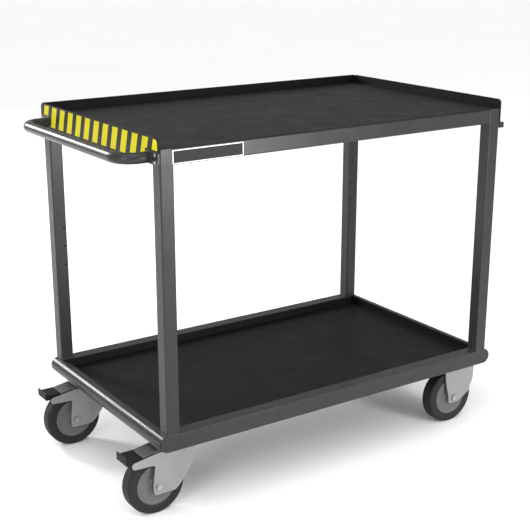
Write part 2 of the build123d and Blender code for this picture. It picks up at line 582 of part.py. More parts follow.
for axle_x, axle_y, name in WHEELS:
    # In this plane the local X axis points up from the axle, and the local Y axis lies along it.
    section = Plane(origin=(axle_x, axle_y, AXLE_HEIGHT), x_dir=(0, 0, 1), z_dir=(-1, 0, 0))
    spin = Axis((axle_x, axle_y, AXLE_HEIGHT), (0, 1, 0))

    half_t = TYRE_WIDTH / 2
    shoulder = TYRE_SHOULDER
    bend = shoulder * (1 - sin(radians(45)))
    bend_r = WHEEL_RADIUS - bend
    with BuildPart() as tyre:
        with BuildSketch(section):
            with BuildLine():
                Line((WHEEL_RADIUS, shoulder - half_t), (WHEEL_RADIUS, half_t - shoulder))
                ThreePointArc((WHEEL_RADIUS, half_t - shoulder), (bend_r, half_t - bend),
                              (WHEEL_RADIUS - shoulder, half_t))
                Polyline((WHEEL_RADIUS - shoulder, half_t), (HUB_RADIUS + RIM_LIP, half_t),
                         (HUB_RADIUS, RIM_WIDTH / 2), (HUB_RADIUS, -RIM_WIDTH / 2),
                         (HUB_RADIUS + RIM_LIP, -half_t), (WHEEL_RADIUS - shoulder, -half_t))
                ThreePointArc((WHEEL_RADIUS - shoulder, -half_t), (bend_r, bend - half_t),
                              (WHEEL_RADIUS, shoulder - half_t))
            make_face()
        revolve(axis=spin)
    tyre.part.label = f"tyre_{name}"
    export_step(tyre.part, f"parts/tyre_{name}.step")

    boss = BOSS_WIDTH / 2
    seat = boss - BEARING_WIDTH
    bore = BEARING_RADIUS - BEARING_SHOULDER
    # Half of the hub's section: each point is (radius, distance along the axle).
    half_hub = [(bore, seat), (BEARING_RADIUS, seat), (BEARING_RADIUS, boss),
                (BOSS_RADIUS, boss), (BOSS_RADIUS + 2, WEB_INNER_WIDTH / 2 + 2),
                (BOSS_RADIUS + 6, WEB_INNER_WIDTH / 2),
                (HUB_RADIUS - RIM_LIP - 3, WEB_OUTER_WIDTH / 2),
                (HUB_RADIUS - RIM_LIP, RIM_WIDTH / 2), (HUB_RADIUS, RIM_WIDTH / 2)]
    with BuildPart() as hub:
        with BuildSketch(section):
            Polygon(*half_hub, *[(r, -z) for r, z in reversed(half_hub)], align=None)
        revolve(axis=spin)
    hub.part.label = f"hub_{name}"
    export_step(hub.part, f"parts/hub_{name}.step")

    with BuildPart() as wheel_bearings:
        with BuildSketch(section):
            for i in (-1, 1):
                inner = AXLE / 2 + RUN_GAP
                Polygon((inner, i * seat), (BEARING_RADIUS, i * seat),
                        (BEARING_RADIUS, i * boss), (inner, i * boss), align=None)
        revolve(axis=spin)
    wheel_bearings.part.label = f"wheel_bearings_{name}"
    export_step(wheel_bearings.part, f"parts/wheel_bearings_{name}.step")

    # Axle bolt with its head on the truck's right, a nut, and a spacer inside each leg.
    with BuildPart() as axle:
        with BuildSketch(wheel_plane(axle_x, axle_y - FORK_WIDTH / 2)):
            RegularPolygon(AXLE_HEAD_FLATS / 2, 6, major_radius=False)
        extrude(amount=AXLE_HEAD_HEIGHT)
        with BuildSketch(wheel_plane(axle_x, axle_y - FORK_WIDTH / 2)):
            Circle(AXLE / 2)
        extrude(amount=-(FORK_WIDTH + AXLE_NUT_HEIGHT + AXLE_TIP))
    with BuildPart() as axle_rings:
        with BuildSketch(wheel_plane(axle_x, axle_y + FORK_WIDTH / 2)):
            RegularPolygon(AXLE_HEAD_FLATS / 2, 6, major_radius=False)
            Circle(AXLE / 2, mode=Mode.SUBTRACT)
        extrude(amount=-AXLE_NUT_HEIGHT)
        with BuildSketch(section):
            for i in (-1, 1):
                near = i * (boss + SIDE_GAP)
                far = i * (FORK_WIDTH / 2 - FORK_SHEET)
                Polygon((AXLE / 2, near), (SPACER_RADIUS, near), (SPACER_RADIUS, far),
                        (AXLE / 2, far), align=None)
        revolve(axis=spin)
    axle_set = Compound(label=f"axle_{name}",
                        children=list(axle.part.solids()) + list(axle_rings.part.solids()))
    export_step(axle_set, f"parts/axle_{name}.step")


# ==== forks ================================================================================
LEG_FOOT = -45.0            # below every leg's edge, from the axle
LEG_FOLD = 52.0             # swivel fork's fold, from the axle
LEG_FRONT = 150.0           # past the swivel fork's front edge
LEG_INSET = 19.0            # how far each flank comes in from the fold to the front
FLANK_HOLLOW = 2.2          # flank's middle in from a straight line
CROWN_Z = CROWN_TOP - AXLE_HEIGHT
# Side view of a swivel leg from the axle: its top edge and horn hang from the crown.
SWIVEL_RUN = [(144, CROWN_Z - 16), (146, CROWN_Z), (-2, CROWN_Z), (-14, CROWN_Z - 2),
              (-90, CROWN_Z - 14), (-88, CROWN_Z - 35), (-10, CROWN_Z - 38), (-19, 1),
              (-15, -27), (58, -27)]
SWIVEL_ROUNDS = [6, 40, 30, 9, 9, 9, 40, 8]
SWIVEL_FLANK = (107, 13)    # on the arc from the leg's foot up to the crown

# Swivel fork seen from above: straight sides, then flanks that curve in towards the front.
leg_side = FORK_WIDTH / 2
flank_x = (LEG_FOLD + LEG_FRONT) / 2
flank_side = leg_side - LEG_INSET / 2 - FLANK_HOLLOW
front_side = leg_side - LEG_INSET
with BuildSketch() as swivel_plan:
    with BuildLine():
        Polyline((LEG_FOLD, leg_side), (-LEG_FRONT, leg_side), (-LEG_FRONT, -leg_side),
                 (LEG_FOLD, -leg_side))
        ThreePointArc((LEG_FOLD, -leg_side), (flank_x, -flank_side), (LEG_FRONT, -front_side))
        Line((LEG_FRONT, -front_side), (LEG_FRONT, front_side))
        ThreePointArc((LEG_FRONT, front_side), (flank_x, flank_side), (LEG_FOLD, leg_side))
    make_face()

for side, side_name in SIDES:
    y = side * CASTER_Y
    above_floor = Plane((SWIVEL_AXLE_X, y, 0))

    with BuildPart() as top_plate:
        with BuildSketch(Plane((SWIVEL_X, y, PLATE_BOTTOM))):
            RectangleRounded(PLATE_LENGTH, PLATE_WIDTH, PLATE_CORNER)
            with GridLocations(BOLT_SPACING_X, BOLT_SPACING_Y, 2, 2):
                Circle(BOLT / 2 + HOLE_GAP, mode=Mode.SUBTRACT)
            Circle(KINGPIN_RADIUS, mode=Mode.SUBTRACT)
        extrude(amount=PLATE_SHEET)
        race_bottom = BALL_MID + RACE_SLIT / 2
        with BuildSketch(Plane((SWIVEL_X, y, race_bottom))):
            Circle(RACE_OUTER)
            Circle(RACE_INNER, mode=Mode.SUBTRACT)
        extrude(amount=PLATE_BOTTOM - race_bottom)
        with Locations((SWIVEL_X, y, BALL_MID)):
            Torus(RACE_RADIUS, BALL_RADIUS + SIDE_GAP, mode=Mode.SUBTRACT)
    top_plate.part.label = f"top_plate_{side_name}"
    export_step(top_plate.part, f"parts/top_plate_{side_name}.step")

    with BuildPart() as swivel_balls:
        with Locations((SWIVEL_X, y, BALL_MID)):
            with PolarLocations(RACE_RADIUS, BALL_COUNT):
                Sphere(BALL_RADIUS)
    swivel_balls.part.label = f"swivel_balls_{side_name}"
    export_step(swivel_balls.part, f"parts/swivel_balls_{side_name}.step")

    # Kingpin, riveted into the top plate, with its nut under the fork's crown.
    nut_top = CROWN_TOP - CROWN_SHEET - SIDE_GAP
    with BuildPart() as kingpin:
        with BuildSketch(Plane((SWIVEL_X, y, nut_top - KINGPIN_NUT_HEIGHT - KINGPIN_TIP))):
            Circle(KINGPIN_RADIUS)
        extrude(amount=CHASSIS_HEIGHT - nut_top + KINGPIN_NUT_HEIGHT + KINGPIN_TIP)
    with BuildPart() as kingpin_nut:
        with BuildSketch(Plane((SWIVEL_X, y, nut_top))):
            RegularPolygon(KINGPIN_NUT_FLATS / 2, 6, major_radius=False)
            Circle(KINGPIN_RADIUS, mode=Mode.SUBTRACT)
        extrude(amount=-KINGPIN_NUT_HEIGHT)
    kingpin_set = Compound(label=f"kingpin_{side_name}",
                           children=[kingpin.part.solid(), kingpin_nut.part.solid()])
    export_step(kingpin_set, f"parts/kingpin_{side_name}.step")

    with BuildPart() as swivel_fork:
        with BuildSketch(Plane((SWIVEL_AXLE_X, y, AXLE_HEIGHT + LEG_FOOT))):
            add(swivel_plan.sketch)
            offset(amount=-FORK_SHEET, mode=Mode.SUBTRACT)
        extrude(amount=CROWN_TOP - AXLE_HEIGHT - LEG_FOOT)
        crown = Plane((SWIVEL_AXLE_X, y, CROWN_TOP - CROWN_SHEET))
        with BuildSketch(crown):
            add(swivel_plan.sketch)
            with Locations((CROWN_FRONT - LEG_FRONT, 0)):
                Rectangle(2 * LEG_FRONT, FORK_WIDTH, mode=Mode.SUBTRACT)
        extrude(amount=CROWN_SHEET)
        with BuildSketch(wheel_plane(SWIVEL_AXLE_X, y)):
            with BuildLine():
                FilletPolyline(*SWIVEL_RUN, radius=SWIVEL_ROUNDS)
                ThreePointArc(SWIVEL_RUN[-1], SWIVEL_FLANK, SWIVEL_RUN[0])
            make_face()
        extrude(amount=FORK_WIDTH, both=True, mode=Mode.INTERSECT)
        # Lower race and its dust rim stand on the crown.
        race_top = BALL_MID - RACE_SLIT / 2
        rim_inner = RACE_OUTER + RIM_GAP
        with BuildSketch(Plane((SWIVEL_X, y, CROWN_TOP))):
            Circle(RACE_OUTER)
            Circle(RACE_INNER, mode=Mode.SUBTRACT)
        extrude(amount=race_top - CROWN_TOP)
        with BuildSketch(Plane((SWIVEL_X, y, CROWN_TOP - CROWN_SHEET))):
            Circle(rim_inner + RIM_WALL)
            Circle(rim_inner, mode=Mode.SUBTRACT)
        extrude(amount=RIM_TOP - CROWN_TOP + CROWN_SHEET)
        with BuildSketch(crown):
            with Locations((TRAIL, 0)):
                Circle(rim_inner + RIM_WALL)
        extrude(amount=CROWN_SHEET)
        with Locations((SWIVEL_X, y, BALL_MID)):
            Torus(RACE_RADIUS, BALL_RADIUS + SIDE_GAP, mode=Mode.SUBTRACT)
        with Locations((SWIVEL_X, y, CROWN_TOP)):
            Cylinder(KINGPIN_RADIUS + RUN_GAP, 4 * CROWN_SHEET, mode=Mode.SUBTRACT)
        with Locations(Location((SWIVEL_AXLE_X, y, AXLE_HEIGHT), (90, 0, 0))):
            Cylinder(AXLE / 2, 2 * FORK_WIDTH, mode=Mode.SUBTRACT)
        with Locations(Location((SWIVEL_AXLE_X + PIN_X, y, PIN_HEIGHT), (90, 0, 0))):
            Cylinder(PIN_RADIUS, 2 * FORK_WIDTH, mode=Mode.SUBTRACT)
    swivel_fork.part.label = f"swivel_fork_{side_name}"
    export_step(swivel_fork.part, f"parts/swivel_fork_{side_name}.step")

    # ---- brake --------------------------------------------------------------------------
    pin_at = Location((SWIVEL_AXLE_X + PIN_X, y, PIN_HEIGHT), (90, 0, 0))
    with BuildPart() as brake_pin:
        with Locations(pin_at):
            Cylinder(PIN_RADIUS, FORK_WIDTH)
    brake_pin.part.label = f"brake_pin_{side_name}"
    export_step(brake_pin.part, f"parts/brake_pin_{side_name}.step")

    lever_half = FORK_WIDTH / 2 - FORK_SHEET - LEVER_SIDE_GAP
    pin_z = PIN_HEIGHT - AXLE_HEIGHT
    tongue_top = PAD_TOP - AXLE_HEIGHT - TONGUE_DEPTH
    hood_front = (PAD_START, PAD_TOP - AXLE_HEIGHT)
    hood_mid = ((PAD_START + LEVER_REAR) / 2, LEVER_MID_TOP - AXLE_HEIGHT)
    hood_rear = (LEVER_REAR, LEVER_REAR_TOP - AXLE_HEIGHT)
    drop = (0, -LEVER_SHEET)

    def shoe_point(along_shoe):
        """Point of the shoe's flat underside with the brake off, just off the tyre when it's on."""
        lean, turn = radians(SHOE_ANGLE), radians(BRAKE_TRAVEL)
        reach = WHEEL_RADIUS + SHOE_GAP
        dx = along_shoe * cos(lean) - reach * sin(lean) - PIN_X
        dz = along_shoe * sin(lean) + reach * cos(lean) - pin_z
        return (PIN_X + dx * cos(turn) + dz * sin(turn), pin_z - dx * sin(turn) + dz * cos(turn))

    shoe_rear = shoe_point(-SHOE_LENGTH / 2)
    shoe_front = shoe_point(SHOE_LENGTH / 2)
    with BuildPart() as brake_lever:
        # Hood from the fork's crown out to the pad.
        with BuildSketch(wheel_plane(SWIVEL_AXLE_X, y)):
            with BuildLine():
                ThreePointArc(hood_front, hood_mid, hood_rear)
                Line(hood_rear, (hood_rear[0], hood_rear[1] + drop[1]))
                ThreePointArc((hood_rear[0], hood_rear[1] + drop[1]),
                              (hood_mid[0], hood_mid[1] + drop[1]),
                              (hood_front[0], hood_front[1] + drop[1]))
                Line((hood_front[0], hood_front[1] + drop[1]), hood_front)
            make_face()
        extrude(amount=lever_half, both=True)
        # Tongue that the pad is pushed onto.
        with BuildSketch(wheel_plane(SWIVEL_AXLE_X, y)):
            with BuildLine():
                Polyline((TONGUE_ROOT, tongue_top), (PAD_TIP + TONGUE_MARGIN, tongue_top),
                         (PAD_TIP + TONGUE_MARGIN, tongue_top - LEVER_SHEET),
                         (TONGUE_ROOT, tongue_top - LEVER_SHEET), close=True)
            make_face()
        extrude(amount=lever_half - TONGUE_MARGIN, both=True)
        # Shoe that bears on the tyre.
        with BuildSketch(wheel_plane(SWIVEL_AXLE_X, y)):
            with BuildLine():
                Polyline(shoe_rear, shoe_front, (shoe_front[0], hood_mid[1] - LEVER_SHEET / 2),
                         (shoe_rear[0], hood_front[1] - LEVER_SHEET / 2), close=True)
            make_face()
        extrude(amount=SHOE_HALF_WIDTH, both=True)
        # Cheeks down to the pin.
        for i in (-1, 1):
            cheek_y = y + i * (lever_half - LEVER_SHEET / 2)
            with BuildSketch(wheel_plane(SWIVEL_AXLE_X, cheek_y)):
                with Locations((PIN_X, pin_z)):
                    Circle(CHEEK_RADIUS)
                with BuildLine():
                    Polyline((PIN_X - CHEEK_RADIUS, pin_z), (PIN_X + CHEEK_RADIUS, pin_z),
                             (PIN_X + CHEEK_RADIUS, hood_rear[1] - LEVER_SHEET / 2),
                             (PIN_X - CHEEK_RADIUS, hood_mid[1] + LEVER_SHEET / 2), close=True)
                make_face()
            extrude(amount=LEVER_SHEET / 2, both=True)
        with Locations(pin_at):
            Cylinder(PIN_RADIUS + RUN_GAP, 2 * FORK_WIDTH, mode=Mode.SUBTRACT)
    brake_lever.part.label = f"brake_lever_{side_name}"
    export_step(brake_lever.part, f"parts/brake_lever_{side_name}.step")

    with BuildPart() as pedal_pad:
        pad_top = PAD_TOP - AXLE_HEIGHT
        with BuildSketch(wheel_plane(SWIVEL_AXLE_X, y)):
            with BuildLine():
                Polyline((PAD_START, pad_top), (PAD_TIP + PAD_LIP_THICKNESS, pad_top),
                         (PAD_TIP + PAD_LIP_THICKNESS, pad_top + PAD_LIP),
                         (PAD_TIP, pad_top + PAD_LIP), (PAD_TIP, pad_top - PAD_DEPTH),
                         (PAD_START, pad_top - PAD_DEPTH), close=True)
            make_face()
        extrude(amount=lever_half, both=True)
        fillet(pedal_pad.edges().filter_by(Axis.Y), PAD_ROUND)
        add(brake_lever.part, mode=Mode.SUBTRACT)
    pedal_pad.part.label = f"pedal_pad_{side_name}"
    export_step(pedal_pad.part, f"parts/pedal_pad_{side_name}.step")


# Fixed forks: two legs, each with a fold at both edges, under a welded top plate.
FIXED_FOLD_REAR = -19.0
FIXED_FOLD_FRONT = 24.0
FIXED_REAR = -45.0          # past the leg's rear edge
FIXED_FRONT = 110.0         # past the leg's front edge
FIXED_REAR_BEND = 20.0
FIXED_FRONT_BEND = 7.0
FIXED_TOP = PLATE_BOTTOM - AXLE_HEIGHT
FIXED_RUN = [(-23, 13), (-20, -20), (23, -20), (58, -6), (88, 8), (88, 24), (102, 50)]
FIXED_ROUNDS = [4, 12, 20, 3, 30]
FIXED_REAR_EDGE = (-31, 51)
FIXED_FRONT_EDGE = (105, 88)

# One fixed leg seen from above, folded in at both edges, and the web between two of them.
fixed_front_side = leg_side - (FIXED_FRONT - FIXED_FOLD_FRONT) * tan(radians(FIXED_FRONT_BEND))
fixed_rear_side = leg_side - (FIXED_FOLD_REAR - FIXED_REAR) * tan(radians(FIXED_REAR_BEND))
fixed_leg = [(FIXED_REAR, fixed_rear_side), (FIXED_FOLD_REAR, leg_side),
             (FIXED_FOLD_FRONT, leg_side), (FIXED_FRONT, fixed_front_side)]
fixed_web = fixed_leg[1:] + [(x, -y) for x, y in reversed(fixed_leg[1:])]
fixed_leg += [(x, y - FORK_SHEET) for x, y in reversed(fixed_leg)]

for side, side_name in SIDES:
    y = side * CASTER_Y
    with BuildPart() as fixed_fork:
        with BuildSketch(Plane((FIXED_AXLE_X, y, AXLE_HEIGHT + LEG_FOOT))):
            for i in (-1, 1):
                Polygon(*[(x, i * leg_y) for x, leg_y in fixed_leg], align=None)
        extrude(amount=PLATE_BOTTOM - AXLE_HEIGHT - LEG_FOOT)
        with BuildSketch(Plane((FIXED_AXLE_X, y, PLATE_BOTTOM - CROWN_SHEET))):
            Polygon(*fixed_web, align=None)
        extrude(amount=CROWN_SHEET)
        with BuildSketch(wheel_plane(FIXED_AXLE_X, y)):
            with BuildLine():
                FilletPolyline(*FIXED_RUN, radius=FIXED_ROUNDS)
                ThreePointArc(FIXED_RUN[-1], FIXED_FRONT_EDGE, (106, FIXED_TOP))
                Line((106, FIXED_TOP), (-38, FIXED_TOP))
                ThreePointArc((-38, FIXED_TOP), FIXED_REAR_EDGE, FIXED_RUN[0])
            make_face()
        extrude(amount=FORK_WIDTH, both=True, mode=Mode.INTERSECT)
        with BuildSketch(Plane((FIXED_PLATE_X, y, PLATE_BOTTOM))):
            RectangleRounded(PLATE_LENGTH, PLATE_WIDTH, PLATE_CORNER)
            with GridLocations(BOLT_SPACING_X, BOLT_SPACING_Y, 2, 2):
                Circle(BOLT / 2 + HOLE_GAP, mode=Mode.SUBTRACT)
        extrude(amount=PLATE_SHEET)
        with Locations(Location((FIXED_AXLE_X, y, AXLE_HEIGHT), (90, 0, 0))):
            Cylinder(AXLE / 2, 2 * FORK_WIDTH, mode=Mode.SUBTRACT)
    fixed_fork.part.label = f"fixed_fork_{side_name}"
    export_step(fixed_fork.part, f"parts/fixed_fork_{side_name}.step")
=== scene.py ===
import json
import logging
import math
from abc import ABC, abstractmethod
from dataclasses import dataclass
from enum import StrEnum
from typing import Optional, Sequence

import bpy
import numpy as np
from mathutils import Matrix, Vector


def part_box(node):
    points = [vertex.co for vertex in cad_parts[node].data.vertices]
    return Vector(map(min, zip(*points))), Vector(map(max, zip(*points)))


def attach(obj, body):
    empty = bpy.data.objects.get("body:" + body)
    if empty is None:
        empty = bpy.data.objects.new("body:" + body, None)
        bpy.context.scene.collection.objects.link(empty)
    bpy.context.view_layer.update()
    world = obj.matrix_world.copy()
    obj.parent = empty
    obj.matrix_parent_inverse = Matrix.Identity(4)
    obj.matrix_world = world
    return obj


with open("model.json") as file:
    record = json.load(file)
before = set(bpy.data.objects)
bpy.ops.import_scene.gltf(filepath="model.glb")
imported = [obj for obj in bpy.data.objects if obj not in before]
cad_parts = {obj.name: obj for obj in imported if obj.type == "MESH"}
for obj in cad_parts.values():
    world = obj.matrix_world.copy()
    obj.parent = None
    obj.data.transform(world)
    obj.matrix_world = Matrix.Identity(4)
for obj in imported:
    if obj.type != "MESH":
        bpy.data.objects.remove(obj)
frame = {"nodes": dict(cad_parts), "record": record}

# Two-deck platform truck: finishes, small detail pieces, floor, light and camera.
# Everything is in metres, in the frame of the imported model.

LOG = logging.getLogger("platform_truck")
MM = 0.001
CHASSIS = "chassis"         # body that carries everything fixed
SPREAD = (0.3, 0.7)         # nearly all of a noise's values lie between these
BEVEL_SAMPLES = 6
EDGE_COSINES = (0.999, 0.9)  # lean of the rounded normal where wear starts and where it is full

Colour = tuple[float, float, float, float]
Point = tuple[float, float, float]
PlanePoint = tuple[float, float]
Range = tuple[float, float]


class End(StrEnum):
    """Ends of the truck. The handle is at the rear."""

    REAR = "rear"
    FRONT = "front"


class Side(StrEnum):
    """Sides of the truck, for someone who pushes it."""

    RIGHT = "right"
    LEFT = "left"


class Slot(StrEnum):
    """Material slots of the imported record."""

    FRAME = "grey_frame_paint"
    DECK = "black_deck_paint"
    FILM = "hazard_film"
    YELLOW = "hazard_yellow"
    TYRE = "tyre_rubber"
    HUB = "hub_plastic"
    PEDAL = "pedal_plastic"
    ZINC = "zinc_plated_steel"
    LEVER = "dark_plated_steel"
    BRIGHT = "bright_steel"


# ---- colours and node graphs ---------------------------------------------------------------
def linear(colour: str) -> Colour:
    """Turns an sRGB hex colour into linear RGBA.

    Args:
        colour: six hex digits, with or without a leading hash.

    Returns:
        Red, green, blue and alpha for a colour socket.
    """
    digits = colour.lstrip("#")
    parts = [int(digits[i:i + 2], 16) / 255 for i in (0, 2, 4)]
    curve = [p / 12.92 if p <= 0.04045 else ((p + 0.055) / 1.055) ** 2.4 for p in parts]
    return (curve[0], curve[1], curve[2], 1.0)


def per_metre(size_mm: float) -> float:
    """Scale at which a noise on object coordinates has features of one real size."""
    return 1000 / size_mm


def around(middle: float, swing: Range) -> Range:
    """Range from a little below a value to a little above it."""
    return middle - swing[0], middle + swing[1]


class Graph:
    """Node tree of a material or of the world."""

    def __init__(self, owner: bpy.types.ID) -> None:
        """Takes over the owner's node tree and empties it.

        Args:
            owner: the material or the world.
        """
        owner.use_nodes = True
        self.owner = owner
        self.tree = owner.node_tree
        self.tree.nodes.clear()

    def add(self, kind: str, inputs: dict | list, out: int | str = 0,
            **settings: object) -> Optional[bpy.types.NodeSocket]:
        """Adds a node, sets its properties, and links or sets its inputs.

        Args:
            kind: the node's type name after "ShaderNode".
            inputs: socket name or index to a value or to the output socket to link, or a list
                of these for the first sockets.
            out: name or index of the output to return.
            settings: the node's own properties.

        Returns:
            The output socket, or None for a node that has none.
        """
        node = self.tree.nodes.new("ShaderNode" + kind)
        for key, value in settings.items():
            setattr(node, key, value)
        for key, value in inputs.items() if isinstance(inputs, dict) else enumerate(inputs):
            if isinstance(value, bpy.types.NodeSocket):
                self.tree.links.new(value, node.inputs[key])
            else:
                node.inputs[key].default_value = value
        return node.outputs[out] if len(node.outputs) else None

    def edge_mask(self, reach_mm: float) -> bpy.types.NodeSocket:
        """Mask of the surface near its edges: how far the rounded normal leans off the flat one.

        Args:
            reach_mm: how far from an edge the mask reaches.

        Returns:
            About 0 on flat surface and up to 1 on an edge.
        """
        rounded = self.add("Bevel", {"Radius": reach_mm * MM}, samples=BEVEL_SAMPLES)
        flat = self.add("NewGeometry", {}, out="Normal")
        dot = self.add("VectorMath", [rounded, flat], out="Value", operation="DOT_PRODUCT")
        return self.add("MapRange", [dot, *EDGE_COSINES, 0.0, 1.0])


@dataclass(frozen=True)
class Finish(ABC):
    """A real surface finish, named for its material and for how its surface was made."""

    name: str
    colour: str

    @abstractmethod
    def sockets(self, g: Graph, at: bpy.types.NodeSocket) -> dict[str, object]:
        """Works out the shader's inputs.

        Args:
            g: the graph that takes the nodes.
            at: object coordinates, in metres.

        Returns:
            Socket name to a value or to the output socket to link.
        """

    def build(self) -> bpy.types.Material:
        """Builds the material: the finish's own nodes, a principled shader and the output.

        Returns:
            A new material.
        """
        g = Graph(bpy.data.materials.new(self.name))
        at = g.add("TexCoord", {}, out="Object")
        g.add("OutputMaterial", [g.add("BsdfPrincipled", self.sockets(g, at))])
        return g.owner


@dataclass(frozen=True)
class PowderCoat(Finish):
    """Powder coat on steel. It gives a satin skin whose shade drifts slowly, with faint orange
    peel, and it is paler along the edges: partly rubbed wear, partly a painted edge highlight.

    Real orange peel is finer than 2 mm. It is drawn a little coarser, so that it shows.
    """

    shade: str
    # colour of the paler edges: rubbed metal, and partly a painted edge highlight
    worn: str
    roughness: float
    specular: float
    peel_depth_mm: float
    edge_mm: float = 1.4
    drift_mm: float = 260.0
    rub_mm: float = 14.0
    peel_mm: float = 2.4
    speckle_mm: float = 0.8
    speckle_share: float = 0.2
    gloss_mm: float = 90.0
    drift_window: Range = (0.35, 0.65)
    rub_window: Range = (0.38, 0.62)
    rub_share: Range = (0.25, 0.75)
    gloss_swing: Range = (0.05, 0.07)

    def sockets(self, g: Graph, at: bpy.types.NodeSocket) -> dict[str, object]:
        """Mixes drifting shade and paler edges (rubbed wear and a painted edge highlight), and
        bumps the rounded edges with orange peel.

        Args:
            g: the graph that takes the nodes.
            at: object coordinates, in metres.

        Returns:
            Socket name to a value or to the output socket to link.
        """
        drift = g.add("TexNoise", {"Vector": at, "Scale": per_metre(self.drift_mm), "Detail": 3.0})
        drift = g.add("MapRange", [drift, *self.drift_window, 0.0, 1.0])
        coat = g.add("Mix", {0: drift, 6: linear(self.shade), 7: linear(self.colour)}, out=2,
                     data_type="RGBA")
        # Edges turn towards the worn colour: partly rubbed wear, partly a painted highlight along
        # the edges.
        rub = g.add("TexNoise", {"Vector": at, "Scale": per_metre(self.rub_mm), "Detail": 4.0,
                                 "Roughness": 0.6})
        rub = g.add("MapRange", [rub, *self.rub_window, *self.rub_share])
        rub = g.add("Math", [g.edge_mask(self.edge_mm), rub], operation="MULTIPLY")
        peel = g.add("TexNoise", {"Vector": at, "Scale": per_metre(self.peel_mm), "Detail": 1.0})
        speckle = g.add("TexNoise", {"Vector": at, "Scale": per_metre(self.speckle_mm),
                                     "Detail": 2.0})
        speckle = g.add("Math", [speckle, self.speckle_share], operation="MULTIPLY")
        gloss = g.add("TexNoise", {"Vector": at, "Scale": per_metre(self.gloss_mm), "Detail": 4.0})
        return {
            "Base Color": g.add("Mix", {0: rub, 6: coat, 7: linear(self.worn)}, out=2,
                                data_type="RGBA"),
            "Roughness": g.add("MapRange",
                               [gloss, *SPREAD, *around(self.roughness, self.gloss_swing)]),
            "Normal": g.add("Bump", {
                "Height": g.add("Math", [peel, speckle], operation="ADD"),
                "Distance": self.peel_depth_mm * MM, "Strength": 1.0,
                "Normal": g.add("Bevel", {"Radius": self.edge_mm * MM}, samples=BEVEL_SAMPLES)}),
            "Specular IOR Level": self.specular,
        }


@dataclass(frozen=True)
class ZincPlate(Finish):
    """Plated pressed steel. It gives a soft cloudy grey with fine drawn grain, and brighter edges:
    partly rubbed plating, partly a painted highlight along folds and rims.

    Real rolling grain is a few tenths of a millimetre wide. It is drawn coarser, so that it
    shows.
    """

    cloud: str
    # colour of the brighter edges: rubbed plating, and partly a painted highlight
    edge: str
    roughness: float
    metallic: float
    grain_stretch: Point
    edge_mm: float = 1.2
    edge_rub_and_highlight_share: float = 0.6
    cloud_mm: float = 34.0
    grain_mm: float = 1.2
    grain_depth_mm: float = 0.02
    gloss_swing: Range = (0.06, 0.06)

    def sockets(self, g: Graph, at: bpy.types.NodeSocket) -> dict[str, object]:
        """Mixes clouds and brighter edges (rubbed plating and a painted highlight), and bumps the
        rounded edges with stretched grain.

        Args:
            g: the graph that takes the nodes.
            at: object coordinates, in metres.

        Returns:
            Socket name to a value or to the output socket to link.
        """
        cloud = g.add("TexNoise", {"Vector": at, "Scale": per_metre(self.cloud_mm), "Detail": 3.0})
        cloud = g.add("MapRange", [cloud, *SPREAD, 0.0, 1.0])
        plate = g.add("Mix", {0: cloud, 6: linear(self.cloud), 7: linear(self.colour)}, out=2,
                      data_type="RGBA")
        # Edges and folds mixed towards the lighter edge colour: partly rubbed plating, partly a
        # painted highlight.
        bright = g.add("Math", [g.edge_mask(self.edge_mm), self.edge_rub_and_highlight_share],
                       operation="MULTIPLY")
        drawn = g.add("Mapping", {"Vector": at, "Scale": self.grain_stretch})
        grain = g.add("TexNoise", {"Vector": drawn, "Scale": per_metre(self.grain_mm),
                                   "Detail": 3.0, "Roughness": 0.6})
        return {
            "Base Color": g.add("Mix", {0: bright, 6: plate, 7: linear(self.edge)}, out=2,
                                data_type="RGBA"),
            "Metallic": self.metallic,
            "Roughness": g.add("MapRange",
                               [grain, *SPREAD, *around(self.roughness, self.gloss_swing)]),
            "Normal": g.add("Bump", {
                "Height": grain, "Distance": self.grain_depth_mm * MM, "Strength": 1.0,
                "Normal": g.add("Bevel", {"Radius": self.edge_mm * MM}, samples=BEVEL_SAMPLES)}),
        }


@dataclass(frozen=True)
class Rubber(Finish):
    """Solid moulded rubber. It gives a matt, finely mottled black with a little floor dust."""

    dust: str
    roughness: float = 0.62
    specular: float = 0.35
    mottle_mm: float = 9.0
    patch_mm: float = 18.0
    pit_mm: float = 0.9
    wave_mm: float = 4.5
    depth_mm: float = 0.09
    mottle_window: Range = (0.4, 0.75)
    dust_share: float = 0.35
    gloss_swing: Range = (0.06, 0.1)

    def sockets(self, g: Graph, at: bpy.types.NodeSocket) -> dict[str, object]:
        """Dusts the black with mottle, and bumps it with fine pits and broader waves.

        Args:
            g: the graph that takes the nodes.
            at: object coordinates, in metres.

        Returns:
            Socket name to a value or to the output socket to link.
        """
        mottle = g.add("TexNoise", {"Vector": at, "Scale": per_metre(self.mottle_mm),
                                    "Detail": 5.0, "Roughness": 0.65})
        mottle = g.add("MapRange", [mottle, *self.mottle_window, 0.0, self.dust_share])
        patch = g.add("TexNoise", {"Vector": at, "Scale": per_metre(self.patch_mm), "Detail": 4.0})
        pits = g.add("TexNoise", {"Vector": at, "Scale": per_metre(self.pit_mm), "Detail": 3.0,
                                  "Roughness": 0.6})
        waves = g.add("TexNoise", {"Vector": at, "Scale": per_metre(self.wave_mm), "Detail": 2.0})
        return {
            "Base Color": g.add("Mix", {0: mottle, 6: linear(self.colour), 7: linear(self.dust)},
                                out=2, data_type="RGBA"),
            "Roughness": g.add("MapRange",
                               [patch, *SPREAD, *around(self.roughness, self.gloss_swing)]),
            "Normal": g.add("Bump", {
                "Height": g.add("Math", [pits, waves], operation="ADD"),
                "Distance": self.depth_mm * MM, "Strength": 1.0}),
            "Specular IOR Level": self.specular,
        }


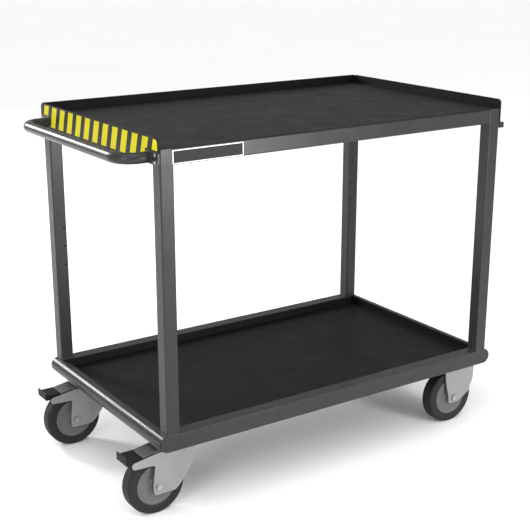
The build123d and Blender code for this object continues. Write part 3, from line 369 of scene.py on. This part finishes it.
@dataclass(frozen=True)
class Moulded(Finish):
    """Moulded nylon. It gives an even colour with faint flow marks and scuffs, over the fine
    texture that a spark-eroded mould leaves."""

    flow: str
    roughness: float
    specular: float
    texture_mm: float = 0.8
    depth_mm: float = 0.04
    edge_mm: float = 0.6
    flow_mm: float = 45.0
    scuff_mm: float = 5.0
    patch_mm: float = 12.0
    flow_window: Range = (0.35, 0.7)
    flow_share: float = 0.6
    scuff_window: Range = (0.6, 0.75)
    scuff_share: float = 0.35
    gloss_swing: Range = (0.05, 0.08)

    def sockets(self, g: Graph, at: bpy.types.NodeSocket) -> dict[str, object]:
        """Mixes in the stronger of flow marks and scuffs, and bumps the mould's texture.

        Args:
            g: the graph that takes the nodes.
            at: object coordinates, in metres.

        Returns:
            Socket name to a value or to the output socket to link.
        """
        flow = g.add("TexNoise", {"Vector": at, "Scale": per_metre(self.flow_mm), "Detail": 3.0})
        flow = g.add("MapRange", [flow, *self.flow_window, 0.0, self.flow_share])
        scuff = g.add("TexNoise", {"Vector": at, "Scale": per_metre(self.scuff_mm), "Detail": 6.0,
                                   "Roughness": 0.7})
        scuff = g.add("MapRange", [scuff, *self.scuff_window, 0.0, self.scuff_share])
        marks = g.add("Math", [flow, scuff], operation="MAXIMUM")
        patch = g.add("TexNoise", {"Vector": at, "Scale": per_metre(self.patch_mm), "Detail": 4.0})
        texture = g.add("TexNoise", {"Vector": at, "Scale": per_metre(self.texture_mm),
                                     "Detail": 2.0})
        return {
            "Base Color": g.add("Mix", {0: marks, 6: linear(self.colour), 7: linear(self.flow)},
                                out=2, data_type="RGBA"),
            "Roughness": g.add("MapRange",
                               [patch, *SPREAD, *around(self.roughness, self.gloss_swing)]),
            "Normal": g.add("Bump", {
                "Height": texture, "Distance": self.depth_mm * MM, "Strength": 1.0,
                "Normal": g.add("Bevel", {"Radius": self.edge_mm * MM}, samples=BEVEL_SAMPLES)}),
            "Specular IOR Level": self.specular,
        }


@dataclass(frozen=True)
class Film(Finish):
    """Printed marking film. It gives a satin sheet with fine rub marks along its length."""

    rubbed: str
    roughness: float = 0.4
    specular: float = 0.5
    rub_mm: float = 3.0
    rub_stretch: Point = (1.0, 0.12, 2.0)
    ripple_mm: float = 2.5
    ripple_depth_mm: float = 0.02
    rub_window: Range = (0.56, 0.74)
    rub_share: float = 0.55
    gloss_swing: Range = (0.06, 0.12)

    def sockets(self, g: Graph, at: bpy.types.NodeSocket) -> dict[str, object]:
        """Mixes in stretched rub marks, which also dull the gloss, over a faint ripple.

        Args:
            g: the graph that takes the nodes.
            at: object coordinates, in metres.

        Returns:
            Socket name to a value or to the output socket to link.
        """
        along = g.add("Mapping", {"Vector": at, "Scale": self.rub_stretch})
        marks = g.add("TexNoise", {"Vector": along, "Scale": per_metre(self.rub_mm),
                                   "Detail": 5.0, "Roughness": 0.7})
        worn = g.add("MapRange", [marks, *self.rub_window, 0.0, self.rub_share])
        ripple = g.add("TexNoise", {"Vector": at, "Scale": per_metre(self.ripple_mm),
                                    "Detail": 2.0})
        return {
            "Base Color": g.add("Mix", {0: worn, 6: linear(self.colour), 7: linear(self.rubbed)},
                                out=2, data_type="RGBA"),
            "Roughness": g.add("MapRange",
                               [marks, *SPREAD, *around(self.roughness, self.gloss_swing)]),
            "Normal": g.add("Bump", {"Height": ripple, "Distance": self.ripple_depth_mm * MM,
                                     "Strength": 1.0}),
            "Specular IOR Level": self.specular,
        }


@dataclass(frozen=True)
class BrightSteel(Finish):
    """Bright-plated turned steel. It gives a clear metal shine, dulled in small patches."""

    dull: str
    roughness: float
    patch_mm: float = 4.0
    smear_mm: float = 3.0
    grain_mm: float = 0.6
    grain_depth_mm: float = 0.01
    edge_mm: float = 0.5
    dull_window: Range = (0.45, 0.7)
    dull_share: float = 0.7
    gloss_swing: Range = (0.06, 0.1)

    def sockets(self, g: Graph, at: bpy.types.NodeSocket) -> dict[str, object]:
        """Mixes in dull patches, and bumps the rounded edges with a fine grain.

        Args:
            g: the graph that takes the nodes.
            at: object coordinates, in metres.

        Returns:
            Socket name to a value or to the output socket to link.
        """
        patch = g.add("TexNoise", {"Vector": at, "Scale": per_metre(self.patch_mm), "Detail": 4.0,
                                   "Roughness": 0.6})
        patch = g.add("MapRange", [patch, *self.dull_window, 0.0, self.dull_share])
        smear = g.add("TexNoise", {"Vector": at, "Scale": per_metre(self.smear_mm), "Detail": 4.0})
        grain = g.add("TexNoise", {"Vector": at, "Scale": per_metre(self.grain_mm),
                                   "Detail": 2.0})
        return {
            "Base Color": g.add("Mix", {0: patch, 6: linear(self.colour), 7: linear(self.dull)},
                                out=2, data_type="RGBA"),
            "Metallic": 1.0,
            "Roughness": g.add("MapRange",
                               [smear, *SPREAD, *around(self.roughness, self.gloss_swing)]),
            "Normal": g.add("Bump", {
                "Height": grain, "Distance": self.grain_depth_mm * MM, "Strength": 1.0,
                "Normal": g.add("Bevel", {"Radius": self.edge_mm * MM}, samples=BEVEL_SAMPLES)}),
        }


@dataclass(frozen=True)
class MattFloor(Finish):
    """Painted studio floor. It gives a pale matt ground, very slightly uneven in shade."""

    shade: str
    roughness: float = 0.9
    specular: float = 0.1
    drift_mm: float = 900.0

    def sockets(self, g: Graph, at: bpy.types.NodeSocket) -> dict[str, object]:
        """Mixes two close shades over broad patches.

        Args:
            g: the graph that takes the nodes.
            at: object coordinates, in metres.

        Returns:
            Socket name to a value or to the output socket to link.
        """
        drift = g.add("TexNoise", {"Vector": at, "Scale": per_metre(self.drift_mm),
                                   "Detail": 2.0})
        return {
            "Base Color": g.add("Mix", {0: drift, 6: linear(self.shade), 7: linear(self.colour)},
                                out=2, data_type="RGBA"),
            "Roughness": self.roughness,
            "Specular IOR Level": self.specular,
        }


FINISHES: dict[Slot, Finish] = {
    # Satin dark grey coat on tube and folded sheet: crisp highlights along bends and edges, partly
    # painted in through the pale worn edge colour.
    Slot.FRAME: PowderCoat("grey_powder_coat_on_steel", "#303030", shade="#2c2c2c",
                           worn="#6c6c6a", roughness=0.27, specular=0.22, peel_depth_mm=0.006,
                           edge_mm=1.8),
    # Coarser, duller black coat on the decks: hardly any highlight.
    Slot.DECK: PowderCoat("black_powder_coat_on_steel", "#151515", shade="#121212",
                          worn="#262625", roughness=0.5, specular=0.13, peel_depth_mm=0.05),
    # Near-black ground of the hazard film.
    Slot.FILM: Film("dark_marking_film", "#212125", rubbed="#2c2c30", roughness=0.45,
                    specular=0.15),
    # Yellow stripes of the hazard film.
    Slot.YELLOW: Film("yellow_marking_film", "#c9be08", rubbed="#b0a612", roughness=0.42,
                      specular=0.1),
    # Elastic black tyre.
    Slot.TYRE: Rubber("black_elastic_rubber", "#131313", dust="#262522"),
    # Cast grey nylon of the hub: plain, with a dull sheen.
    Slot.HUB: Moulded("grey_cast_nylon", "#59595a", flow="#515152", roughness=0.5,
                      specular=0.35),
    # Black nylon pad of the pedal, with a grip grain that shows.
    Slot.PEDAL: Moulded("black_grained_nylon", "#0d0d0d", flow="#171717", roughness=0.55,
                        specular=0.2, texture_mm=1.4, depth_mm=0.12),
    # Dull zinc on pressed forks: light grey, drawn along the height, with brighter edges that are
    # partly rubbed plating, partly a painted highlight on edges and folds.
    Slot.ZINC: ZincPlate("zinc_plated_pressed_steel", "#8b8b8c", cloud="#868687",
                         edge="#a8a8a8", roughness=0.42, metallic=0.4,
                         grain_stretch=(1.0, 1.0, 5.0)),
    # Darker plating on the brake levers, drawn across, with brighter edges that are partly rubbed
    # plating, partly a painted highlight.
    Slot.LEVER: ZincPlate("dark_plated_pressed_steel", "#626266", cloud="#5a5a5e",
                          edge="#828286", roughness=0.4, metallic=0.5,
                          grain_stretch=(1.0, 6.0, 1.0)),
    # Bright plating on bolts, pins and bearings.
    Slot.BRIGHT: BrightSteel("bright_plated_steel", "#b4b4b2", dull="#8e8e8b", roughness=0.3),
}
LABEL_FILM = Film("white_label_film", "#e4e4e2", rubbed="#cfcfcb")
FLOOR_PAINT = MattFloor("pale_matt_floor", "#f7f7f7", shade="#f3f3f3")


# ---- mesh helpers --------------------------------------------------------------------------
class MeshMaker:
    """Collects vertices and faces, and turns them into one riding object."""

    def __init__(self) -> None:
        """Starts with no points and no faces."""
        self.points: list[np.ndarray] = []
        self.faces: list[list[int]] = []
        self.count = 0

    def grid(self, rows: np.ndarray, wrap_u: bool, wrap_v: bool) -> None:
        """Adds a surface from a grid of points: point (u, v) has the index u * n_v + v, and each
        quad joins it to its next neighbours both ways.

        Args:
            rows: points as (u, v, 3).
            wrap_u: whether the last row joins the first.
            wrap_v: whether each row closes on itself.
        """
        n_u, n_v = rows.shape[:2]
        i = np.arange(n_u if wrap_u else n_u - 1)[:, None]
        j = np.arange(n_v if wrap_v else n_v - 1)[None, :]
        row, next_row, next_j = i * n_v, (i + 1) % n_u * n_v, (j + 1) % n_v
        quads = np.stack([row + j, next_row + j, next_row + next_j, row + next_j], axis=-1)
        self.faces += (self.count + quads.reshape(-1, 4)).tolist()
        self.points.append(rows.reshape(-1, 3))
        self.count += n_u * n_v

    def cap(self, ring: int, n_v: int, flip: bool) -> None:
        """Closes one row of the last grid added.

        Args:
            ring: index of its first vertex.
            n_v: number of vertices in it.
            flip: whether to turn the face over.
        """
        loop = list(range(ring, ring + n_v))
        self.faces.append(loop[::-1] if flip else loop)

    def tube(self, path: np.ndarray, radii: np.ndarray, sides: int,
             closed: bool = False) -> None:
        """Adds a tube: at each point of a path, a circle square to the way ahead.

        A circle's point is path + radius * (u cos t + v sin t), where u and v are square to the
        direction and t goes round.

        Args:
            path: points as (n, 3).
            radii: one radius per point.
            sides: number of sides.
            closed: whether the path is a ring.
        """
        ahead = np.roll(path, -1, axis=0) - np.roll(path, 1, axis=0)
        if not closed:
            ahead[0], ahead[-1] = path[1] - path[0], path[-1] - path[-2]
        ahead /= np.linalg.norm(ahead, axis=1, keepdims=True)
        # A fixed reference well off every direction keeps the tube from twisting.
        reference = np.eye(3)[int(np.argmin(np.abs(ahead).mean(axis=0)))]
        u = np.cross(ahead, reference)
        u /= np.linalg.norm(u, axis=1, keepdims=True)
        v = np.cross(ahead, u)
        turn = np.linspace(0, 2 * math.pi, sides, endpoint=False)[None, :, None]
        ring = u[:, None, :] * np.cos(turn) + v[:, None, :] * np.sin(turn)
        start = self.count
        self.grid(path[:, None, :] + ring * radii[:, None, None], closed, True)
        if not closed:
            self.cap(start, sides, True)
            self.cap(start + (len(path) - 1) * sides, sides, False)

    def lathe(self, centre: Vector, profile: Sequence[PlanePoint], segments: int = 96) -> None:
        """Adds a ring turned about the Y direction: a profile point (r, y) at the turn t goes to
        the centre plus (r cos t, y, r sin t).

        Args:
            centre: point on the axis.
            profile: closed outline as (radius, distance along Y) pairs.
            segments: divisions round the axis.
        """
        turn = np.linspace(0, 2 * math.pi, segments, endpoint=False)[:, None]
        r, y = np.array(profile).T[:, None, :]
        rows = np.stack([centre.x + r * np.cos(turn), centre.y + y + 0 * turn,
                         centre.z + r * np.sin(turn)], axis=-1)
        self.grid(rows, True, True)

    def plate(self, x: PlanePoint, z: PlanePoint, face_y: float, thickness: float,
              chamfer_share: float = 0.4) -> None:
        """Adds a thin plate on a face that looks along -Y: three stacked rectangles, of which the
        outermost is smaller by the chamfer.

        Args:
            x: its ends.
            z: its lower and upper edges.
            face_y: the face it lies on.
            thickness: how far it stands proud.
            chamfer_share: its chamfer as a share of the thickness.
        """
        chamfer = thickness * chamfer_share
        inset = np.array([0.0, 0.0, chamfer])
        depth = np.array([0.0, thickness - chamfer, thickness])
        left, right, low, high = x[0] + inset, x[1] - inset, z[0] + inset, z[1] - inset
        face = face_y - depth
        start = self.count
        self.grid(np.stack([np.stack([left, right, right, left], axis=1),
                            np.stack([face] * 4, axis=1),
                            np.stack([low, low, high, high], axis=1)], axis=-1), False, True)
        self.cap(start, 4, True)
        self.cap(self.count - 4, 4, False)

    def build(self, name: str, material: bpy.types.Material, body: str, slot: Optional[Slot],
              smooth: bool = True) -> None:
        """Makes the object and lets it ride on a body.

        Args:
            name: object's name.
            material: its material.
            body: name of the body it rides on.
            slot: not used; the finish comes from the material.
            smooth: whether to shade it smooth.
        """
        mesh = bpy.data.meshes.new(name)
        mesh.from_pydata(np.concatenate(self.points).tolist(), [], self.faces)
        mesh.polygons.foreach_set("use_smooth", [smooth] * len(mesh.polygons))
        mesh.materials.append(material)
        mesh.validate()
        mesh.update()
        obj = bpy.data.objects.new(name, mesh)
        bpy.context.scene.collection.objects.link(obj)
        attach(obj, body)
        LOG.info("%s: %d faces on %s", name, len(self.faces), body)


# ---- the truck's details -------------------------------------------------------------------
@dataclass(frozen=True)
class SubAssembly(ABC):
    """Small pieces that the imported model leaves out. Sizes are in millimetres."""

    materials: dict[Slot, bpy.types.Material]

    @abstractmethod
    def build(self) -> None:
        """Builds and dresses every piece."""


@dataclass(frozen=True)
class Wheel:
    """One wheel's place, read from its hub."""

    end: End
    side: Side

    @property
    def body(self) -> str:
        """Body that turns with the wheel."""
        return f"wheel_{self.end}_{self.side}"

    @property
    def holder(self) -> str:
        """Body that carries the wheel's fork."""
        return f"swivel_{self.side}" if self.end is End.REAR else CHASSIS

    @property
    def centre(self) -> Vector:
        """Middle of the wheel."""
        low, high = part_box(f"hub_{self.end}_{self.side}")
        return (low + high) / 2


WHEELS = [Wheel(end, side) for end in End for side in Side]


@dataclass(frozen=True)
class WeldBead:
    """Straight rippled weld bead. At its station n the radius is the bead's own times
    1 + ripple * sin(2 pi n / wave), plus a small random part, and it narrows at both ends."""

    radius: float = 1.5
    spacing: float = 1.1
    ripple: float = 0.13
    wave: float = 3.2
    scatter: float = 0.03
    end_share: float = 0.55
    fewest: int = 6

    def run(self, start: Sequence[float], end: Sequence[float],
            seed: int) -> tuple[np.ndarray, np.ndarray]:
        """Lays a bead between two points.

        Args:
            start: one end, in metres.
            end: other end, in metres.
            seed: for its small irregularities.

        Returns:
            Its path and its radii.
        """
        a, b = np.array(start, float), np.array(end, float)
        steps = max(self.fewest, int(np.linalg.norm(b - a) / (self.spacing * MM)))
        t = np.linspace(0, 1, steps)[:, None]
        rng = np.random.default_rng(seed)
        swell = (1 + self.ripple * np.sin(np.arange(steps) * 2 * math.pi / self.wave)
                 + rng.normal(0, self.scatter, steps))
        swell[0] = swell[-1] = self.end_share
        return a + (b - a) * t, self.radius * MM * swell


@dataclass(frozen=True)
class PostWelds(SubAssembly):
    """Fillet welds where the posts stand on the lower rails and meet the upper ones."""

    bead: WeldBead = WeldBead()
    sides: int = 8
    inset: float = 4.0      # beads stop this short of the post's corners
    lift: float = 0.6       # foot beads above the post's foot

    def build(self) -> None:
        """Builds one piece for each post."""
        for wheel in WHEELS:
            self.post(wheel.end, wheel.side)

    def post(self, end: End, side: Side) -> None:
        """Builds three beads round one post's foot and two under the upper rails.

        Args:
            end: the post's end of the truck.
            side: its side.
        """
        low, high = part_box(f"post_{end}_{side}")
        rail_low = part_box(f"upper_side_rail_{side}")[0].z
        inner_x, outer_x = (high.x, low.x) if end is End.REAR else (low.x, high.x)
        inner_y = high.y if side is Side.RIGHT else low.y
        foot = low.z + self.lift * MM
        x0, x1 = low.x + self.inset * MM, high.x - self.inset * MM
        y0, y1 = low.y + self.inset * MM, high.y - self.inset * MM
        runs = [((inner_x, y0, foot), (inner_x, y1, foot)),
                ((x0, inner_y, foot), (x1, inner_y, foot)),
                ((outer_x, y0, foot), (outer_x, y1, foot)),
                ((inner_x, y0, rail_low), (inner_x, y1, rail_low)),
                ((x0, inner_y, rail_low), (x1, inner_y, rail_low))]
        maker = MeshMaker()
        # Each bead of a post has a seed of its own, and the two sides differ.
        for i, (a, b) in enumerate(runs):
            maker.tube(*self.bead.run(a, b, 10 * i + len(side)), sides=self.sides)
        maker.build(f"post_welds_{end}_{side}", self.materials[Slot.FRAME], CHASSIS, Slot.FRAME)


@dataclass(frozen=True)
class HandleWelds(SubAssembly):
    """Ring welds where the handle's arms meet their flanges."""

    bead: float = 1.7
    sides: int = 8
    ripple: float = 0.12
    waves: int = 36
    stations: int = 120
    setback: float = 0.6    # ring's centre line behind the arm's end

    def build(self) -> None:
        """Builds one ring for each arm: its bead's radius swells as 1 + ripple * sin(waves t)."""
        low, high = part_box("handle_tube")
        radius = (high.z - low.z) / 2
        mid_z = (high.z + low.z) / 2
        turn = np.linspace(0, 2 * math.pi, self.stations, endpoint=False)
        swell = 1 + self.ripple * np.sin(turn * self.waves)
        for side, y in ((Side.RIGHT, low.y + radius), (Side.LEFT, high.y - radius)):
            ring = np.stack([np.full_like(turn, high.x - self.setback * MM),
                             y + radius * np.cos(turn), mid_z + radius * np.sin(turn)], axis=1)
            maker = MeshMaker()
            maker.tube(ring, self.bead * MM * swell, self.sides, closed=True)
            maker.build(f"handle_weld_{side}", self.materials[Slot.FRAME], CHASSIS, Slot.FRAME)


@dataclass(frozen=True)
class TyreRings(SubAssembly):
    """Raised moulding rings on the tyres' sides."""

    rings: tuple[PlanePoint, ...] = ((11.5, 1.1), (24.5, 0.8))  # in from the tread, half width
    sunk: float = 0.8       # ring's foot inside the tyre
    proud: float = 0.35     # ring's flat top outside it

    def build(self) -> None:
        """Builds the rings of each tyre."""
        for wheel in WHEELS:
            self.tyre(wheel)

    def tyre(self, wheel: Wheel) -> None:
        """Turns low flat-topped rings on both sides of one tyre.

        Args:
            wheel: the wheel to dress.
        """
        low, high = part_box(f"tyre_{wheel.end}_{wheel.side}")
        maker = MeshMaker()
        for sign in (-1, 1):
            face = sign * (high.y - low.y) / 2
            foot, top = face - sign * self.sunk * MM, face + sign * self.proud * MM
            for inward, half_width in self.rings:
                radius, width = (high.z - low.z) / 2 - inward * MM, half_width * MM
                maker.lathe(wheel.centre, [(radius - width, foot), (radius - width / 2, top),
                                           (radius + width / 2, top), (radius + width, foot)])
        maker.build(f"tyre_rings_{wheel.end}_{wheel.side}", self.materials[Slot.TYRE],
                    wheel.body, Slot.TYRE)


@dataclass(frozen=True)
class HubRings(SubAssembly):
    """Low step rings on the hubs' webs."""

    inward: float = 24.0    # ring's middle in from the hub's rim
    face: float = 20.2      # ring's flat top from the wheel's middle plane
    sunk: float = 0.8       # ring's foot inside the web
    top_half: float = 1.6
    foot_half: float = 2.4

    def build(self) -> None:
        """Builds the rings of each hub."""
        for wheel in WHEELS:
            self.hub(wheel)

    def hub(self, wheel: Wheel) -> None:
        """Turns one low ring on both sides of one hub.

        Args:
            wheel: the wheel to dress.
        """
        low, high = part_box(f"hub_{wheel.end}_{wheel.side}")
        ring = (high.z - low.z) / 2 - self.inward * MM
        foot_half, top_half = self.foot_half * MM, self.top_half * MM
        maker = MeshMaker()
        for sign in (-1, 1):
            top, foot = sign * self.face * MM, sign * (self.face - self.sunk) * MM
            maker.lathe(wheel.centre, [(ring - foot_half, foot), (ring - top_half, top),
                                       (ring + top_half, top), (ring + foot_half, foot)])
        maker.build(f"hub_rings_{wheel.end}_{wheel.side}", self.materials[Slot.HUB],
                    wheel.body, Slot.HUB)


@dataclass(frozen=True)
class AxleWashers(SubAssembly):
    """Washers under the axle bolts' heads and nuts, with a chamfered rim."""

    face: float = 39.0      # fork leg's outer face from the wheel's middle plane
    bore: float = 9.0
    radius: float = 11.6
    thickness: float = 1.5
    chamfer: PlanePoint = (0.5, 0.4)    # across the rim, along the axle
    segments: int = 64

    def build(self) -> None:
        """Builds the washers of each fork."""
        for wheel in WHEELS:
            self.fork(wheel)

    def fork(self, wheel: Wheel) -> None:
        """Turns one washer on both sides of one fork.

        Args:
            wheel: the wheel whose fork carries them.
        """
        across, along = self.chamfer
        outline = ((self.bore, 0.0), (self.radius, 0.0), (self.radius, self.thickness - along),
                   (self.radius - across, self.thickness), (self.bore, self.thickness))
        maker = MeshMaker()
        for sign in (-1, 1):
            maker.lathe(wheel.centre, [(r * MM, sign * (self.face + y) * MM)
                                       for r, y in outline], self.segments)
        maker.build(f"axle_washers_{wheel.end}_{wheel.side}", self.materials[Slot.ZINC],
                    wheel.holder, Slot.ZINC)


@dataclass(frozen=True)
class Flank:
    """Bent edge of a fork's leg. Points are millimetres ahead of the axle and above it."""

    arc: tuple[PlanePoint, PlanePoint, PlanePoint]
    stations: int
    before: tuple[PlanePoint, ...]
    after: tuple[PlanePoint, ...]
    fold: float             # where the flank starts to lean inwards
    front: float            # where it stops
    inset: float            # how far inwards it is there
    hollow: float           # how much deeper its curve is than a straight lean, halfway

    def path(self) -> np.ndarray:
        """The whole edge, as (n, 2): the arc with its lead-in and run-out."""
        parts = (self.before, arc_through(*self.arc, self.stations), self.after)
        return np.concatenate([np.reshape(part, (-1, 2)) for part in parts])

    def inward(self, ahead: np.ndarray) -> np.ndarray:
        """How far inwards the flank lies: inset * s + 4 * hollow * s * (1 - s), where s goes
        from 0 at the fold to 1 at the front.

        Args:
            ahead: distances ahead of the axle.

        Returns:
            Distances in from the leg's outer face.
        """
        s = np.clip((ahead - self.fold) / (self.front - self.fold), 0, 1)
        return self.inset * s + 4 * self.hollow * s * (1 - s)


FLANKS = {
    End.REAR: Flank(arc=((58, -27), (107, 13), (144, 98)), stations=40, before=(),
                    after=((145.2, 106.0), (145.6, 110.0)), fold=52.0, front=150.0, inset=19.0,
                    hollow=2.2),
    End.FRONT: Flank(arc=((102, 50), (105, 88), (106, 130)), stations=24,
                     before=((92, 31), (96, 39)), after=(), fold=24.0, front=110.0, inset=10.6,
                     hollow=0.0),
}


@dataclass(frozen=True)
class ForkRims(SubAssembly):
    """Rolled rims along the bent flanks of the forks."""

    half_width: float = 39.0    # fork leg's outer face from the wheel's middle plane
    half_sheet: float = 2.0
    radius: float = 2.5
    end_radius: float = 1.2
    sides: int = 12

    def build(self) -> None:
        """Builds the rims of each fork."""
        for wheel in WHEELS:
            self.fork(wheel)

    def fork(self, wheel: Wheel) -> None:
        """Carries a round rim along the middle of the sheet on both legs of one fork.

        Args:
            wheel: the wheel whose fork carries them.
        """
        flank, centre = FLANKS[wheel.end], wheel.centre
        path = flank.path()
        middle = self.half_width - self.half_sheet - flank.inward(path[:, 0])
        radii = np.full(len(path), self.radius * MM)
        radii[0] = radii[-1] = self.end_radius * MM
        maker = MeshMaker()
        for sign in (-1, 1):
            line = np.stack([centre.x + path[:, 0] * MM, centre.y + sign * middle * MM,
                             centre.z + path[:, 1] * MM], axis=1)
            maker.tube(line, radii, self.sides)
        maker.build(f"fork_rims_{wheel.end}_{wheel.side}", self.materials[Slot.ZINC],
                    wheel.holder, Slot.ZINC)


@dataclass(frozen=True)
class NamePlate(SubAssembly):
    """Blank plate on the right-hand upper rail, with a plain field and no lettering."""

    before: float = 4.0     # plate starts this far behind the rail's end
    reach: float = 235.0    # and stops this far along it
    foot: float = 2.5       # above the rail's lower edge
    head: float = 5.0       # below its upper edge
    thickness: float = 1.0
    border: float = 3.0
    sunk: float = 0.1       # field's back inside the plate
    field_thickness: float = 0.3

    def build(self) -> None:
        """Builds the plate and its field."""
        low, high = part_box("upper_side_rail_right")
        x0, x1 = low.x - self.before * MM, low.x + self.reach * MM
        z0, z1 = low.z + self.foot * MM, high.z - self.head * MM
        plate = MeshMaker()
        plate.plate((x0, x1), (z0, z1), low.y, self.thickness * MM)
        plate.build("name_plate", LABEL_FILM.build(), CHASSIS, None, smooth=False)
        edge = self.border * MM
        field = MeshMaker()
        field.plate((x0 + edge, x1 - edge), (z0 + edge, z1 - edge),
                    low.y - (self.thickness - self.sunk) * MM, self.field_thickness * MM)
        field.build("name_plate_field", self.materials[Slot.FILM], CHASSIS, None, smooth=False)


def arc_through(a: PlanePoint, b: PlanePoint, c: PlanePoint, count: int) -> np.ndarray:
    """Points along the circular arc through three points: its centre is where the lines that
    halve two of the chords at right angles meet, and the points are spaced evenly by angle.

    Args:
        a: first point.
        b: a point between.
        c: last point.
        count: number of points.

    Returns:
        The points as (count, 2).
    """
    (ax, ay), (bx, by), (cx, cy) = a, b, c
    d = 2 * (ax * (by - cy) + bx * (cy - ay) + cx * (ay - by))
    sa, sb, sc = ax * ax + ay * ay, bx * bx + by * by, cx * cx + cy * cy
    ux = (sa * (by - cy) + sb * (cy - ay) + sc * (ay - by)) / d
    uy = (sa * (cx - bx) + sb * (ax - cx) + sc * (bx - ax)) / d
    turns = np.unwrap([math.atan2(y - uy, x - ux) for x, y in (a, b, c)])
    radius = math.hypot(ax - ux, ay - uy)
    sweep = np.linspace(turns[0], turns[2], count)
    return np.stack([ux + radius * np.cos(sweep), uy + radius * np.sin(sweep)], axis=1)


# ---- stage, light and camera ---------------------------------------------------------------
@dataclass(frozen=True)
class Panel:
    """Rectangular soft light: where it stands, what it points at, its size and its power."""

    name: str
    place: Point
    target: Point
    size: tuple[float, float]
    watts: float


@dataclass(frozen=True)
class Studio:
    """Pale floor, soft studio light and the camera, in metres and degrees."""

    floor_half: float = 60.0
    sky: tuple[tuple[float, float], ...] = ((0.0, 0.7), (0.3, 0.36), (1.0, 0.62))
    sun_place: Point = (-0.5, -1.4, 3.3)
    sun_strength: float = 1.9
    sun_angle: float = 70.0
    panels: tuple[Panel, ...] = (
        Panel("key", (1.1, -3.2, 1.0), (-0.6, -0.4, 1.0), (0.9, 1.3), 74.0),
        Panel("left", (-3.4, -2.0, 1.6), (-0.5, -0.3, 0.3), (1.4, 1.4), 45.0),
        Panel("strip", (-2.2, 5.4, 3.35), (-0.7, 0.0, 1.1), (1.3, 2.6), 310.0),
    )
    eye: Point = (-2.160, -3.132, 1.772)    # from the middle between the posts, on the floor
    azimuth: float = -33.96
    elevation: float = 17.29
    lens: float = 76.33
    sensor: float = 36.0
    shift: tuple[float, float] = (0.0075, 0.0192)
    clip_end: float = 200.0

    def build(self) -> None:
        """Builds the whole stage."""
        self.floor()
        self.world()
        self.lights()
        self.camera()

    def floor(self) -> None:
        """Lays the floor, one large square."""
        mesh = bpy.data.meshes.new("studio_floor")
        s = self.floor_half
        mesh.from_pydata([(-s, -s, 0), (s, -s, 0), (s, s, 0), (-s, s, 0)], [], [(0, 1, 2, 3)])
        mesh.materials.append(FLOOR_PAINT.build())
        obj = bpy.data.objects.new("studio_floor", mesh)
        bpy.context.scene.collection.objects.link(obj)

    def world(self) -> None:
        """Makes a grey sky that is darkest a little above the horizon."""
        world = bpy.data.worlds.new("studio")
        g = Graph(world)
        split = g.add("SeparateXYZ", [g.add("TexCoord", {}, out="Generated")], out="Z")
        ramp = g.add("ValToRGB", [split])
        stops = ramp.node.color_ramp.elements
        stops.new(self.sky[1][0])
        for stop, (height, grey) in zip(stops, self.sky):
            stop.position, stop.color = height, (grey, grey, grey, 1.0)
        g.add("OutputWorld", [g.add("Background", {"Color": ramp, "Strength": 1.0})])
        bpy.context.scene.world = world

    def lights(self) -> None:
        """Hangs a soft sun, a low key that the posts mirror, a fill, and a strip behind the
        handle."""
        sun = bpy.data.lights.new("sun", "SUN")
        sun.energy = self.sun_strength
        sun.angle = math.radians(self.sun_angle)
        self.aim(sun, self.sun_place, (0.0, 0.0, 0.0))
        for panel in self.panels:
            light = bpy.data.lights.new(panel.name, "AREA")
            light.shape = "RECTANGLE"
            light.size, light.size_y = panel.size
            light.energy = panel.watts
            self.aim(light, panel.place, panel.target)

    def aim(self, light: bpy.types.Light, place: Point, target: Point) -> None:
        """Places a light and points it.

        Args:
            light: the light.
            place: where it stands.
            target: what it points at.
        """
        obj = bpy.data.objects.new(light.name, light)
        obj.location = place
        ahead = Vector(target) - Vector(place)
        obj.rotation_euler = ahead.to_track_quat("-Z", "Y").to_euler()
        bpy.context.scene.collection.objects.link(obj)

    def camera(self) -> None:
        """Stands the camera off the handle end's right-hand corner, above deck height."""
        lens = bpy.data.cameras.new("camera")
        lens.sensor_width = self.sensor
        lens.lens = self.lens
        lens.shift_x, lens.shift_y = self.shift
        lens.clip_end = self.clip_end
        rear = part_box("post_rear_right")[0].x
        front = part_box("post_front_right")[1].x
        obj = bpy.data.objects.new("camera", lens)
        obj.location = Vector(self.eye) + Vector(((rear + front) / 2, 0, 0))
        obj.rotation_euler = (math.radians(90 - self.elevation), 0, math.radians(self.azimuth))
        bpy.context.scene.collection.objects.link(obj)
        bpy.context.scene.camera = obj
        bpy.context.scene.view_settings.view_transform = "Standard"


class Truck:
    """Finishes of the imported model's nodes."""

    def __init__(self) -> None:
        """Builds every finish, and reads which node takes which."""
        self.materials = {slot: finish.build() for slot, finish in FINISHES.items()}
        self.slots = {item["node"]: Slot(item["material_slot"])
                      for item in frame["record"]["subparts"]}

    def paint(self) -> None:
        """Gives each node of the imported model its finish."""
        for name, obj in frame["nodes"].items():
            material = self.materials[self.slots[name]]
            obj.data.materials.clear()
            obj.data.materials.append(material)
            LOG.info("%s: %s", name, material.name)


def main() -> None:
    """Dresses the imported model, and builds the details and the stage."""
    logging.basicConfig(level=logging.INFO)
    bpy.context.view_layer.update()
    truck = Truck()
    truck.paint()
    for part in (PostWelds, HandleWelds, TyreRings, HubRings, AxleWashers, ForkRims, NamePlate):
        part(truck.materials).build()
    Studio().build()


if __name__ == "__main__":
    main()
